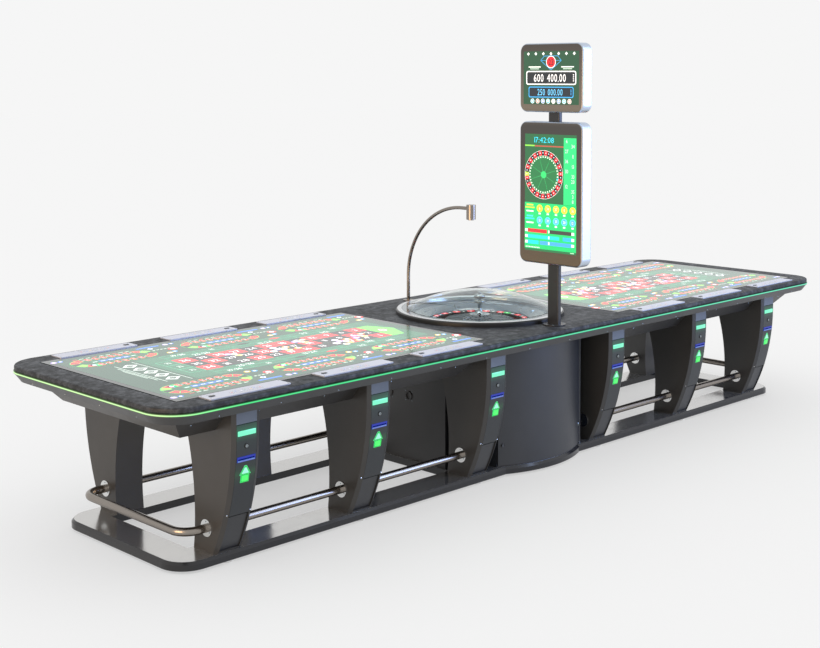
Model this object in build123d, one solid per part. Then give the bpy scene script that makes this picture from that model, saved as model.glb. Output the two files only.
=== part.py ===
"""Twelve-seat electronic roulette table, as one assembly of separate pieces.

Millimetres. X runs along the table, Y across it, Z up. The origin is on the floor under the
middle of the table, which is also under the axis of the wheel.
"""

import math
import os

from build123d import *

os.makedirs("parts", exist_ok=True)

# ---- top: two displays, an island for the wheel between them, and margins round them -------
table_height = 776.5
glass_length = 1885.0
glass_width = 1090.0
glass_thick = 6.0
island_length = 1130.0
end_margin = 136.0
side_margin = 127.0
plan_corner_r = 165.0

# ---- table edge, from the top down ---------------------------------------------------------
pad_thick = 26.5
pad_edge_inset = 12.0
guide_high = 10.0
guide_wide = 13.0
joint_inset = 2.0
tray_depth = 50.0
tray_bottom_inset = 32.0
tray_wall = 45.0
tray_floor = 4.0

# ---- display modules and their housings ----------------------------------------------------
lcd_lip = 5.0
lcd_depth = 28.0
tub_depth = 103.0
tub_flare = 91.0
tub_grow = 13.0
tub_inner_shift = 35.0
tub_outer_grow = 21.0
tub_wall = 3.0

# ---- player station plates -----------------------------------------------------------------
plate_pitch = 620.0
plate_long = 432.0
plate_wide = 88.0
plate_thick = 5.0
plate_corner_r = 6.0
plate_gap = 1.0
button_long = 26.0
button_wide = 16.0
button_proud = 3.0
button_high = 5.5
button_corner_r = 2.0
button_offset = 176.0
button_play = 0.35

# ---- base ----------------------------------------------------------------------------------
foot_high = 12.0
foot_pad_high = 8.0
foot_pad_r = 24.0
foot_stem_r = 8.0
foot_setback = 33.0
base_thick = 37.0
base_end_setback = 191.5
base_side_setback = 199.0
base_corner_r = 128.0
base_rail_wide = 171.0
base_end_wide = 167.0
base_bevel = 12.0
base_bulge_margin = 10.0
centre_plate_margin = 20.0

# ---- pedestals -----------------------------------------------------------------------------
pedestal_inner_x = 509.0
pedestal_end_setback = 464.0
pedestal_middle_shift = 23.5
pedestal_wide = 150.0
pedestal_setback = 82.0
pedestal_depth = 274.5
front_upright = 100.0
front_arc_r = 1195.6
back_arc_r = 1212.0
back_arc_mid = 200.0
pedestal_wall = 4.0
bevel_wide = 20.0
bevel_deep = 11.0

# ---- plates and drop-down doors of the pedestals -------------------------------------------
cap_high = 64.0
cap_thick = 4.0
door_bottom = 228.0
door_gap = 1.0
door_end_gap = 3.0
door_thick = 6.0
kick_bottom = 60.0
kick_gap = 6.0
kick_inset = 6.0
knuckle_r = 6.0
hinge_pin_r = 3.0
hinge_pin_margin = 9.0
hinge_play = 0.05
lock_drop = 95.0
lock_r = 9.5
lock_head_r = 12.0
lock_head_high = 3.0
lock_long = 34.0
slot_drop = 150.0
bezel_wide = 97.0
bezel_high = 23.0
bezel_proud = 2.0
bezel_deep = 14.0
slot_wide = 87.0
slot_high = 6.0

# ---- note readers --------------------------------------------------------------------------
reader_wide = 84.0
reader_gap = 4.0
reader_long = 166.0
reader_below = 35.0
reader_above = 35.0
chute_high = 25.0
chute_long = 100.0
cash_box_drop = 221.0
cash_box_grow = 55.0
ear_thick = 8.0

# ---- foot rails ----------------------------------------------------------------------------
rail_r = 19.0
rail_setback = 190.0
rail_z = 155.0
rail_overhang = 123.0
rail_bend_r = 80.0
flange_r = 38.0
flange_thick = 4.0

# ---- wheel ---------------------------------------------------------------------------------
bowl_r = 410.0
bowl_lip = 7.0
bowl_lip_grow = 31.0
track_shoulder = 19.0
track_wide = 15.0
track_fall = 2.5
bowl_fall = 27.5
bowl_floor_drop = 86.5
bowl_floor_thick = 8.0
bowl_hole_r = 30.0
ring_wide = 32.0
ring_high = 26.5
ring_bevel = 8.0
lip_thick = 6.0
hole_play = 2.0
rotor_r = 278.0
rotor_gap = 6.0
rotor_lift = 7.0
rotor_keel = 28.0
pocket_inset = 32.0
pocket_long = 49.0
pocket_drop = 54.5
pocket_deep = 16.0
pocket_count = 37
fret_thick = 2.0
fret_high = 13.0
fret_play = 0.2
cone_top_r = 60.0
cone_drop = 12.5
spindle_r = 12.5
spindle_play = 0.1
spindle_short = 5.0
motor_r = 90.0
motor_high = 130.0
deflector_count = 8
deflector_long = 46.0
deflector_wide = 13.0
deflector_high = 6.0
ball_r = 9.5
ball_gap = 0.4
ball_angle = 200.0
dome_rise = 128.5
dome_glass = 4.0
seat_gap = 0.3

# ---- handle of the wheel head --------------------------------------------------------------
turret_base_r = 58.0
turret_rim = 4.0
turret_bell_high = 37.0
turret_stem_r = 11.0
turret_collar = (70.0, 80.0, 24.0, 30.0)
turret_knob = (92.0, 116.0, 20.0, 32.0)
turret_finial = (114.0, 131.0, 5.0, 8.5)

# ---- centre cabinet ------------------------------------------------------------------------
cabinet_half_x = 555.0
cabinet_half_y = 262.0
cabinet_wall = 4.0
drum_half_x = 344.0
drum_r = 700.0
drum_setback = 137.0
drum_plate_inset = 6.0
drum_wall_setback = 9.0
cabinet_door_gap = 7.0
cabinet_lock_margin = 24.0

# ---- display tower -------------------------------------------------------------------------
tower_gap = 6.0
tower_disc_r = 62.0
tower_disc_thick = 6.0
pole_deep = 28.0
pole_wide = 74.0
pole_corner_r = 6.0
pole_high = 327.5
main_high = 764.0
neck_high = 50.0
sign_high = 368.0
housing_wide = 430.0
housing_deep = 80.0
housing_corner_r = 45.0
housing_edge_r = 10.0
main_screen = (352.0, 630.0)
sign_screen = (377.0, 283.0)
screen_slab = 3.0
screen_seat = 8.0

# ---- camera arm ----------------------------------------------------------------------------
arm_gap = 68.0
arm_r = 10.0
arm_flange_r = 31.0
arm_flange_thick = 5.0
arm_bend_r = 430.0
arm_upright = 153.5
head_y = 68.0
head_r = 27.0
head_high = 83.0
head_above = 22.0
socket_deep = 8.0
lens_r = 18.0
lens_thick = 4.0

# ---- sizes and levels worked out from the ones above ---------------------------------------
SIDES = (1, -1)
FAR = 3000.0

table_length = island_length + 2 * (glass_length + end_margin)
table_width = glass_width + 2 * side_margin
glass_inner_x = island_length / 2
glass_outer_x = glass_inner_x + glass_length
glass_mid_x = glass_inner_x + glass_length / 2

base_top = foot_high + base_thick
pad_bottom = table_height - pad_thick
guide_bottom = pad_bottom - guide_high
tray_bottom = pad_bottom - tray_depth
deck_bottom = tray_bottom + tray_floor

base_length = table_length - 2 * base_end_setback
base_width = table_width - 2 * base_side_setback

tub_bottom = tray_bottom - tub_depth
tub_top_half = glass_width / 2 + tub_grow
tub_inner_x = glass_inner_x + tub_inner_shift
tub_outer_x = glass_outer_x + tub_outer_grow

pedestal_outer_x = table_length / 2 - pedestal_end_setback
pedestal_middle_x = (pedestal_inner_x + pedestal_outer_x) / 2 + pedestal_middle_shift
pedestal_x = (pedestal_inner_x, pedestal_middle_x, pedestal_outer_x)
pedestal_front = table_width / 2 - pedestal_setback
pedestal_back = pedestal_front - pedestal_depth
front_arc_top = tray_bottom - front_upright
half_wide = pedestal_wide / 2
flat_half = half_wide - bevel_wide
door_top = tray_bottom - cap_high - door_end_gap
kick_top = door_bottom - kick_gap
lock_z = door_top - lock_drop
slot_z = door_top - slot_drop
rail_y = pedestal_front - rail_setback
rail_end_x = pedestal_outer_x + half_wide + rail_overhang

wheel_hole_r = bowl_r + hole_play
ring_seat_r = bowl_r + bowl_lip_grow
ring_outer_r = ring_seat_r + ring_wide
ring_top = table_height + ring_high
lip_bottom = ring_top - lip_thick
track_r = bowl_r - track_shoulder
track_inner_r = track_r - track_wide
track_top_z = table_height - track_fall
track_bottom_z = table_height - 2 * track_fall
well_r = rotor_r + rotor_gap
well_edge_r = well_r + 4
bowl_floor_z = table_height - bowl_floor_drop
pocket_floor_z = table_height - pocket_drop
pocket_outer_r = rotor_r - pocket_inset
pocket_inner_r = pocket_outer_r - pocket_long
cone_top_z = table_height - cone_drop
dome_rim_r = bowl_r
dome_apex_z = table_height + dome_rise

drum_front_y = table_width / 2 - drum_setback
drum_centre_y = drum_r - drum_front_y
hinge_corner_y = math.sqrt(drum_r**2 - drum_half_x**2) - drum_centre_y
drum_side_y = hinge_corner_y - drum_wall_setback

tower_y = -(ring_outer_r + tower_gap + tower_disc_r)
screen_bottom_z = table_height + pole_high
screen_top_z = screen_bottom_z + main_high
sign_bottom_z = screen_top_z + neck_high
sign_top_z = sign_bottom_z + sign_high
arm_y = ring_outer_r + arm_gap + arm_flange_r
arm_bend_z = table_height + arm_upright


def save(node, *solids):
    """Write one node, whose solids stay separate."""
    shape = solids[0] if len(solids) == 1 else Compound(label=node, children=list(solids))
    export_step(shape, os.path.join("parts", node + ".step"))


def box(x0, x1, y0, y1, z0, z1):
    """Axis-aligned block between two corners."""
    centre = ((x0 + x1) / 2, (y0 + y1) / 2, (z0 + z1) / 2)
    return Pos(*centre) * Box(abs(x1 - x0), abs(y1 - y0), abs(z1 - z0))


def disc(x, y, z0, z1, r):
    """Upright cylinder from z0 to z1."""
    return Pos(x, y, (z0 + z1) / 2) * Cylinder(r, abs(z1 - z0))


def bar_x(x0, x1, y, z, r):
    """Round bar along X."""
    return Pos((x0 + x1) / 2, y, z) * Rot(0, 90, 0) * Cylinder(r, abs(x1 - x0))


def bar_y(x, y0, y1, z, r):
    """Round bar along Y."""
    return Pos(x, (y0 + y1) / 2, z) * Rot(90, 0, 0) * Cylinder(r, abs(y1 - y0))


def outline(z, inset):
    """The table's rounded plan, drawn in by inset, at height z."""
    corner = plan_corner_r - inset
    return Pos(0, 0, z) * RectangleRounded(table_length - 2 * inset, table_width - 2 * inset, corner)


def slab(z0, z1, inset0, inset1=None):
    """Table-shaped slab, with its edge leaning when the two insets differ."""
    top_inset = inset0 if inset1 is None else inset1
    if top_inset == inset0:
        return extrude(outline(z0, inset0), amount=z1 - z0)
    return loft([outline(z0, inset0).face(), outline(z1, top_inset).face()])


def turned(points):
    """Solid of revolution about Z from (radius, height) corners."""
    face = make_face(Polyline(*[(r, 0, z) for r, z in points], close=True))
    return revolve(face, axis=Axis.Z)


def one(shape):
    """The single solid of a boolean result."""
    return shape.solids()[0]


# ---- table edge and deck -------------------------------------------------------------------
def glass_box(side, z0, z1, grow=0.0):
    """Block with a table display's outline, on one half of the table."""
    x0 = side * (glass_inner_x - grow)
    x1 = side * (glass_outer_x + grow)
    half = glass_width / 2 + grow
    return box(x0, x1, -half, half, z0, z1)


def tub_top_box(side):
    """Opening in the tray floor that a monitor housing passes through."""
    x0 = side * tub_inner_x
    x1 = side * tub_outer_x
    return box(x0, x1, -tub_top_half, tub_top_half, tray_bottom - 1, deck_bottom + 1)


def edge_apron():
    """Under-tray: a sloping skirt round the edge and a flat floor."""
    tray = slab(tray_bottom, guide_bottom, tray_bottom_inset, joint_inset)
    tray -= slab(deck_bottom, guide_bottom + 1, tray_wall)
    for side in SIDES:
        tray -= tub_top_box(side)
    tray -= disc(0, 0, tray_bottom - 1, deck_bottom + 1, wheel_hole_r)
    return one(tray)


def light_guide():
    """Continuous light strip round the edge."""
    ring = slab(guide_bottom, pad_bottom, 0)
    ring -= slab(guide_bottom - 1, pad_bottom + 1, guide_wide)
    return one(ring)


def deck_panel():
    """Stiff panel that carries the top, open at the displays and the wheel."""
    deck = slab(deck_bottom, pad_bottom, tray_wall)
    for side in SIDES:
        deck -= glass_box(side, deck_bottom - 1, pad_bottom + 1, lcd_lip)
    deck -= disc(0, 0, deck_bottom - 1, pad_bottom + 1, wheel_hole_r)
    return one(deck)


def armrest():
    """Upholstered top, all round the displays and the wheel."""
    pad = slab(pad_bottom, table_height, joint_inset, pad_edge_inset)
    for side in SIDES:
        pad -= glass_box(side, pad_bottom - 1, table_height + 1)
    pad -= disc(0, 0, pad_bottom - 1, table_height + 1, wheel_hole_r)
    return one(pad)


# ---- table displays ------------------------------------------------------------------------
def tub_block(side, inset):
    """Flared block of a monitor housing, drawn in by inset."""
    long = tub_outer_x - tub_inner_x - 2 * inset
    wide = 2 * (tub_top_half - inset)
    mid = side * (tub_inner_x + tub_outer_x) / 2
    rim = Pos(mid, 0, tray_bottom) * Rectangle(long, wide)
    floor = Pos(mid, 0, tub_bottom + inset) * Rectangle(long - 2 * tub_flare, wide - 2 * tub_flare)
    flare = loft([floor.face(), rim.face()], ruled=True)
    return flare + extrude(rim, amount=tray_floor, dir=(0, 0, 1))


def monitor_housing(side):
    """Open-topped tub under one table display."""
    return one(tub_block(side, 0) - tub_block(side, tub_wall))


def lcd_panel(side):
    """Display module: a body in the deck and a step up to the glass."""
    body = glass_box(side, pad_bottom - lcd_depth, pad_bottom, lcd_lip)
    return one(body + glass_box(side, pad_bottom, table_height - glass_thick))


def screen_glass(side):
    """Flush touch glass."""
    return glass_box(side, table_height - glass_thick, table_height)


# ---- base ----------------------------------------------------------------------------------
def bevel_top(solid, keep):
    """Bevel the top edges that keep() picks by their middle point."""
    edges = [e for e in solid.edges() if abs(e.center().Z - base_top) < 0.01 and keep(e.center())]
    return chamfer(edges, base_bevel)


def base_end(side):
    """End plate of the base, with rounded outer corners."""
    inner_x = base_length / 2 - base_end_wide
    plan = RectangleRounded(base_length, base_width, base_corner_r)
    plate = extrude(Pos(0, 0, foot_high) * plan, amount=base_thick)
    plate = one(plate & box(side * inner_x, side * FAR, -FAR, FAR, 0, base_top))
    return one(bevel_top(plate, lambda c: abs(c.X) > inner_x + 1))


def base_rail(side):
    """Long rail of the base, bulging in front of the drum."""
    half_x = base_length / 2 - base_end_wide
    outer = base_width / 2
    middle = outer - base_rail_wide / 2
    inner = outer - base_rail_wide
    rail = box(-half_x, half_x, side * inner, side * outer, foot_high, base_top)
    bulge = disc(0, side * -drum_centre_y, foot_high, base_top, drum_r + base_bulge_margin)
    bulge &= box(-half_x, half_x, side * middle, side * FAR, foot_high, base_top)
    rail = one(rail + bulge)
    return one(bevel_top(rail, lambda c: abs(c.Y) > outer - 1))


def base_frame():
    """Two long rails, two end plates and the plate under the cabinet."""
    inner = base_width / 2 - base_rail_wide
    half = cabinet_half_x + centre_plate_margin
    centre = box(-half, half, -inner, inner, foot_high, base_top)
    return [base_rail(1), base_rail(-1), base_end(1), base_end(-1), centre]


def levelling_foot(x, y):
    """Pad on the floor with a stem up to the base."""
    pad = disc(x, y, 0, foot_pad_high, foot_pad_r)
    return one(pad + disc(x, y, foot_pad_high / 2, foot_high, foot_stem_r))


# ---- pedestals, modelled at the front left and copied round ---------------------------------
def front_y(z, inset=0.0):
    """Front face of a pedestal at height z: upright, then an arc down to the base."""
    radius = front_arc_r - inset
    drop = max(front_arc_top - z, 0.0)
    return -(pedestal_front - front_arc_r) - math.sqrt(radius * radius - drop * drop)


def back_y(z, inset=0.0):
    """Back face of a pedestal at height z: one hollow arc."""
    radius = back_arc_r + inset
    return -pedestal_back + back_arc_r - math.sqrt(radius * radius - (z - back_arc_mid) ** 2)


def flare_y(z, skin=0.0):
    """Sloping side of a monitor housing at height z, or a skin outside it."""
    run = tub_flare / tub_depth
    return -tub_top_half + (tray_bottom - z) * run - skin * math.hypot(1, run)


def pedestal_profile(x, z0, z1, front_inset, back_inset, notched, skin=0.0):
    """Side profile of a pedestal at one x, between two heights."""
    back_top = tub_bottom - skin if notched else z1
    mid_front = (z0 + front_arc_top) / 2
    mid_back = (z0 + back_top) / 2
    low_front = (front_y(z0, front_inset), z0)
    arc_end = (front_y(front_arc_top, front_inset), front_arc_top)
    low_back = (back_y(z0, back_inset), z0)
    high_back = (back_y(back_top, back_inset), back_top)
    corners = [high_back]
    if notched:
        corners += [(flare_y(back_top, skin), back_top), (flare_y(z1, skin), z1)]
    corners += [(arc_end[0], z1), arc_end]
    pieces = [
        ThreePointArc(arc_end, (front_y(mid_front, front_inset), mid_front), low_front),
        Line(low_front, low_back),
        ThreePointArc(low_back, (back_y(mid_back, back_inset), mid_back), high_back),
        Polyline(*corners),
    ]
    wire = Wire([edge for piece in pieces for edge in piece.edges()])
    return Plane((x, 0, 0), x_dir=(0, 1, 0), z_dir=(1, 0, 0)) * Face(wire)


def pedestal_shell(notched):
    """Casing of one pedestal, with bevelled front edges, open at the front."""
    ends = (base_top, tray_bottom)
    flat = pedestal_profile(-flat_half, *ends, 0, 0, notched)
    shell = extrude(flat, amount=2 * flat_half, dir=(1, 0, 0))
    for side in SIDES:
        near = pedestal_profile(side * flat_half, *ends, 0, 0, notched)
        far = pedestal_profile(side * half_wide, *ends, bevel_deep, 0, notched)
        shell += loft([near, far] if side > 0 else [far, near], ruled=True)
    hollow_x = half_wide - pedestal_wall
    skin = bevel_deep + pedestal_wall
    room_ends = (base_top + pedestal_wall, tray_bottom - pedestal_wall)
    room = pedestal_profile(-hollow_x, *room_ends, skin, pedestal_wall, notched, pedestal_wall)
    shell -= extrude(room, amount=2 * hollow_x, dir=(1, 0, 0))
    shell -= front_strip(kick_bottom, tray_bottom + 1, -1, skin + 2, flat_half)
    pin_half = half_wide - hinge_pin_margin
    shell -= bar_x(-pin_half, pin_half, *hinge_line(), hinge_pin_r)
    if not notched:
        shell -= box(-FAR, FAR, -cabinet_half_y, FAR, base_top, tray_bottom)
    return one(shell)


def front_edges(z0, z1, inset):
    """Front line of a pedestal between two heights: an arc, an upright, or both."""
    edges = []
    arc_top = min(z1, front_arc_top)
    if z0 < arc_top:
        mid = (z0 + arc_top) / 2
        points = [(front_y(z, inset), z) for z in (z0, mid, arc_top)]
        edges += ThreePointArc(*points).edges()
    if z1 > front_arc_top:
        start = max(z0, front_arc_top)
        edges += Line((front_y(start, inset), start), (front_y(z1, inset), z1)).edges()
    return edges


def front_strip(z0, z1, inset, thick, half):
    """Plate that follows the pedestal's front between two heights."""
    deep = inset + thick
    bottom = Line((front_y(z0, inset), z0), (front_y(z0, deep), z0))
    top = Line((front_y(z1, inset), z1), (front_y(z1, deep), z1))
    edges = [*front_edges(z0, z1, inset), *front_edges(z0, z1, deep), bottom.edge(), top.edge()]
    plane = Plane((-half, 0, 0), x_dir=(0, 1, 0), z_dir=(1, 0, 0))
    return extrude(plane * Face(Wire(edges)), amount=2 * half, dir=(1, 0, 0))


def hinge_line():
    """Y and Z of the door's hinge pin, inside the bottom edge of the door."""
    z = door_bottom + knuckle_r
    return front_y(z) + knuckle_r, z


def door_leaf():
    """Curved drop-down door with its hinge knuckle, slot opening and lock hole."""
    half = flat_half - door_gap
    leaf = front_strip(door_bottom + knuckle_r, door_top, 0, door_thick, half)
    leaf += bar_x(-half, half, *hinge_line(), knuckle_r)
    leaf -= bar_x(-half_wide, half_wide, *hinge_line(), hinge_pin_r + hinge_play)
    leaf -= bezel_block()
    leaf -= bar_y(0, front_y(lock_z) - lock_long, front_y(lock_z) + lock_long, lock_z, lock_r)
    return one(leaf)


def bezel_block():
    """Outer block of the note slot's bezel."""
    y0 = front_y(slot_z) - bezel_proud
    half_z = bezel_high / 2
    return box(-bezel_wide / 2, bezel_wide / 2, y0, y0 + bezel_deep, slot_z - half_z, slot_z + half_z)


def slot_bezel():
    """Bezel with the mouth that notes go into."""
    mouth = Pos(0, front_y(slot_z), slot_z) * Box(slot_wide, 3 * bezel_deep, slot_high)
    return one(bezel_block() - mouth)


def lock_barrel():
    """Cam lock in the middle of the door."""
    face_y = front_y(lock_z)
    body = bar_y(0, face_y, face_y + lock_long, lock_z, lock_r)
    return one(body + bar_y(0, face_y - lock_head_high, face_y, lock_z, lock_head_r))


def bill_validator():
    """Note reader behind the slot, its chute, the cash box below and two mounting ears."""
    half = reader_wide / 2
    front = front_y(slot_z) - bezel_proud + bezel_deep + reader_gap
    back = front + reader_long
    low = slot_z - reader_below
    floor = low - chute_high
    reader = box(-half, half, front, back, low, slot_z + reader_above)
    chute = box(-half, half, back - chute_long, back, floor, low)
    box_low = slot_z - cash_box_drop
    cash_box = box(-half, half, back - chute_long, back + cash_box_grow, box_low, floor)
    wall_x = half_wide - pedestal_wall
    ear = box(-wall_x, wall_x, back - chute_long, back, floor, floor + ear_thick)
    return one(reader + chute + cash_box + ear)


def stations():
    """Place of each pedestal: number, x, and quarter-turns to the front or rear."""
    places = []
    for row, side in enumerate((-1, 1)):
        for column, x in enumerate((*[-v for v in reversed(pedestal_x)], *pedestal_x)):
            places.append((row * 6 + column + 1, x, 0 if side < 0 else 180))
    return places


def placed(shape, x, turn):
    """Copy of a front pedestal piece at its station."""
    return Pos(x, 0, 0) * Rot(0, 0, turn) * shape


# ---- foot rails ----------------------------------------------------------------------------
def side_rails():
    """Straight rails between neighbouring pedestals."""
    reach = half_wide + flange_thick
    rails = []
    for y in (-rail_y, rail_y):
        for side in SIDES:
            for near, far in zip(pedestal_x, pedestal_x[1:]):
                rails.append(bar_x(side * (near + reach), side * (far - reach), y, rail_z, rail_r))
    return rails


def end_rail(side):
    """U-shaped rail round one end."""
    start = pedestal_outer_x + half_wide + flange_thick
    path = FilletPolyline(
        (side * start, -rail_y, rail_z),
        (side * rail_end_x, -rail_y, rail_z),
        (side * rail_end_x, rail_y, rail_z),
        (side * start, rail_y, rail_z),
        radius=rail_bend_r,
    )
    section = Plane(path @ 0, z_dir=path % 0) * Circle(rail_r)
    return one(sweep(section, path=path))


def rail_flanges():
    """Round flange on both sides of every pedestal."""
    rings = []
    for _, x, turn in stations():
        y = -rail_y if turn == 0 else rail_y
        for side in SIDES:
            face = x + side * half_wide
            rings.append(bar_x(face, face + side * flange_thick, y, rail_z, flange_r))
    return rings


# ---- centre cabinet ------------------------------------------------------------------------
def cabinet_plan(inset):
    """Plan of the cabinet's walls: a box with a narrower bay to the front and rear."""
    wide = Rectangle(2 * (cabinet_half_x - inset), 2 * (cabinet_half_y - inset))
    bay = Rectangle(2 * (drum_half_x - inset), 2 * (drum_side_y - inset))
    return wide + bay


def drum_plate(side, z0):
    """Curved front of the cabinet's top or bottom plate, with a tab for the hinge pin."""
    z1 = z0 + cabinet_wall
    x, y = hinge_corner(side)
    back_y = side * (drum_side_y - 2 * knuckle_r)
    front = disc(0, side * -drum_centre_y, z0, z1, drum_r - drum_plate_inset)
    front &= box(-drum_half_x, drum_half_x, back_y, side * FAR, z0, z1)
    return front + box(x - knuckle_r, x + knuckle_r, back_y, y + side * knuckle_r, z0, z1)


def hinge_corner(side):
    """Plan position of a cabinet door's hinge."""
    return -side * drum_half_x, side * hinge_corner_y


def centre_cabinet():
    """Cabinet shell, open at the front and rear, with its top and bottom plates."""
    room_z = base_top + cabinet_wall
    room_high = tray_bottom - base_top - 2 * cabinet_wall
    shell = extrude(Pos(0, 0, base_top) * cabinet_plan(0), amount=tray_bottom - base_top)
    shell -= extrude(Pos(0, 0, room_z) * cabinet_plan(cabinet_wall), amount=room_high)
    half = drum_half_x - cabinet_wall
    shell -= box(-half, half, -FAR, FAR, room_z, room_z + room_high)
    for side in SIDES:
        shell += drum_plate(side, base_top)
        shell += drum_plate(side, tray_bottom - cabinet_wall)
        shell -= disc(*hinge_corner(side), base_top, tray_bottom, hinge_pin_r)
    shell -= disc(0, 0, room_z + room_high, tray_bottom, wheel_hole_r)
    return one(shell)


def cabinet_door(side):
    """Curved door, hinged down one edge, with a lock low on the free side."""
    z0 = base_top + cabinet_door_gap
    z1 = tray_bottom - cabinet_door_gap
    x, y = hinge_corner(side)
    centre_y = side * -drum_centre_y
    free = -x * (1 - door_gap / drum_half_x)
    skin = disc(0, centre_y, z0, z1, drum_r) - disc(0, centre_y, z0, z1, drum_r - cabinet_wall)
    skin &= box(free, x, side * (drum_side_y + door_gap), side * FAR, z0, z1)
    skin += disc(x, y, z0, z1, knuckle_r)
    skin -= disc(x, y, z0, z1, hinge_pin_r + hinge_play)
    lock_x = math.copysign(drum_half_x - cabinet_lock_margin, free)
    lock_y = side * (math.sqrt(drum_r**2 - lock_x**2) - drum_centre_y)
    z = rail_z + lock_r
    hole = bar_y(lock_x, lock_y - lock_long, lock_y + lock_long, z, lock_r)
    lock = bar_y(lock_x, lock_y + side * lock_head_high, lock_y - side * 2 * lock_r, z, lock_r)
    return one(skin - hole), lock


# ---- wheel ---------------------------------------------------------------------------------
def wheel_ring():
    """Raised ring that carries the bowl."""
    return turned([
        (wheel_hole_r, table_height),
        (ring_outer_r, table_height),
        (ring_outer_r, ring_top - ring_bevel),
        (ring_outer_r - 1.5 * ring_bevel, ring_top),
        (ring_seat_r, ring_top),
        (ring_seat_r, lip_bottom),
        (wheel_hole_r, lip_bottom),
    ])


def slope_z(r):
    """Height of the bowl's sloping surface at radius r."""
    rise = bowl_fall / (track_inner_r - well_edge_r)
    return track_bottom_z - (track_inner_r - r) * rise


def wheel_bowl():
    """Fixed bowl: lip, ball track, slope down to the wheel head, and a well under it."""
    floor_top = bowl_floor_z + bowl_floor_thick
    return turned([
        (bowl_hole_r, bowl_floor_z),
        (well_r + 2 * bowl_floor_thick, bowl_floor_z),
        (bowl_r, tray_bottom + tray_floor),
        (bowl_r, lip_bottom),
        (ring_seat_r, lip_bottom),
        (ring_seat_r, ring_top),
        (bowl_r - bowl_lip, ring_top),
        (bowl_r - bowl_lip - 4, ring_top - 17),
        (track_r, track_top_z),
        (track_inner_r, track_bottom_z),
        (well_edge_r, slope_z(well_edge_r)),
        (well_r, slope_z(well_edge_r) - 2),
        (well_r, floor_top),
        (bowl_hole_r, floor_top),
    ])


def ball_deflectors(bowl):
    """Diamond-shaped stops on the bowl's slope, alternately along and across it."""
    r = (well_edge_r + track_inner_r) / 2
    tilt = math.degrees(math.atan2(bowl_fall, track_inner_r - well_edge_r))
    stops = []
    for k in range(deflector_count):
        half_x = (deflector_long if k % 2 else deflector_wide) / 2
        half_y = (deflector_wide if k % 2 else deflector_long) / 2
        corners = [(half_x, 0), (0, half_y), (-half_x, 0), (0, -half_y)]
        stop = extrude(make_face(Polyline(*corners, close=True)), amount=deflector_high, taper=30)
        turn = Rot(0, 0, (k + 0.5) * 360 / deflector_count)
        stops.append(one(turn * Pos(r, 0, slope_z(r)) * Rot(0, -tilt, 0) * stop - bowl))
    return stops


def rotor_head():
    """Wheel head that spins: number ring, pocket floor and cone."""
    bore_r = spindle_r + spindle_play
    under_z = bowl_floor_z + bowl_floor_thick + rotor_lift
    edge_z = slope_z(well_edge_r)
    return turned([
        (bore_r, under_z),
        (rotor_r - rotor_keel, under_z),
        (rotor_r, under_z + rotor_keel * 0.8),
        (rotor_r, edge_z - 1),
        (rotor_r - 3, edge_z),
        (pocket_outer_r, pocket_floor_z + pocket_deep),
        (pocket_outer_r, pocket_floor_z),
        (pocket_inner_r, pocket_floor_z),
        (pocket_inner_r, pocket_floor_z + pocket_deep),
        (cone_top_r, cone_top_z),
        (bore_r, cone_top_z),
    ])


def rotor_frets():
    """Thin walls between the pockets."""
    half = fret_thick / 2
    low = pocket_inner_r + fret_play
    high = pocket_outer_r - fret_play
    blade = box(low, high, -half, half, pocket_floor_z, pocket_floor_z + fret_high)
    return [Rot(0, 0, (k + 0.5) * 360 / pocket_count) * blade for k in range(pocket_count)]


def belly(low, high, neck_r, belly_r):
    """Turned piece between two heights above the cone, whose side swells to a belly."""
    z0, z1 = cone_top_z + low, cone_top_z + high
    side = ThreePointArc((neck_r, 0, z0), (belly_r, 0, (z0 + z1) / 2), (neck_r, 0, z1))
    rest = Polyline((neck_r, 0, z1), (0, 0, z1), (0, 0, z0), (neck_r, 0, z0))
    return revolve(Face(Wire([*side.edges(), *rest.edges()])), axis=Axis.Z)


def turret():
    """Turned handle in the middle of the wheel head."""
    z0 = cone_top_z
    z1 = z0 + turret_bell_high
    throat = (1.6 * turret_stem_r, 0, z0 + 0.55 * turret_bell_high)
    side = ThreePointArc((turret_base_r, 0, z0 + turret_rim), throat, (turret_stem_r, 0, z1))
    rest = Polyline(
        (turret_stem_r, 0, z1), (0, 0, z1), (0, 0, z0), (turret_base_r, 0, z0),
        (turret_base_r, 0, z0 + turret_rim),
    )
    handle = revolve(Face(Wire([*side.edges(), *rest.edges()])), axis=Axis.Z)
    handle += disc(0, 0, z1 - 1, z0 + turret_finial[0], turret_stem_r)
    for swelling in (turret_collar, turret_knob, turret_finial):
        handle += belly(*swelling)
    return one(handle)


def glass_dome():
    """Shallow glass cap over the wheel."""
    rim_z = ring_top + seat_gap
    rise = dome_apex_z - rim_z
    big_r = (dome_rim_r**2 + rise**2) / (2 * rise)
    centre_z = dome_apex_z - big_r
    shell = Pos(0, 0, centre_z) * (Sphere(big_r) - Sphere(big_r - dome_glass))
    return one(shell & box(-FAR, FAR, -FAR, FAR, rim_z, dome_apex_z + 1))


def ball():
    """Ball at rest on the track."""
    r = track_r - ball_r * 0.75
    slope = track_fall / track_wide
    floor_z = track_bottom_z + (r - track_inner_r) * slope
    z = floor_z + (ball_r + ball_gap) * math.hypot(1, slope)
    return Rot(0, 0, ball_angle) * Pos(r, 0, z) * Sphere(ball_r)


def wheel_drive():
    """Motor under the bowl with the fixed spindle standing up through it."""
    motor = disc(0, 0, bowl_floor_z - motor_high, bowl_floor_z, motor_r)
    return one(motor + disc(0, 0, bowl_floor_z - 1, cone_top_z - spindle_short, spindle_r))


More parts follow.
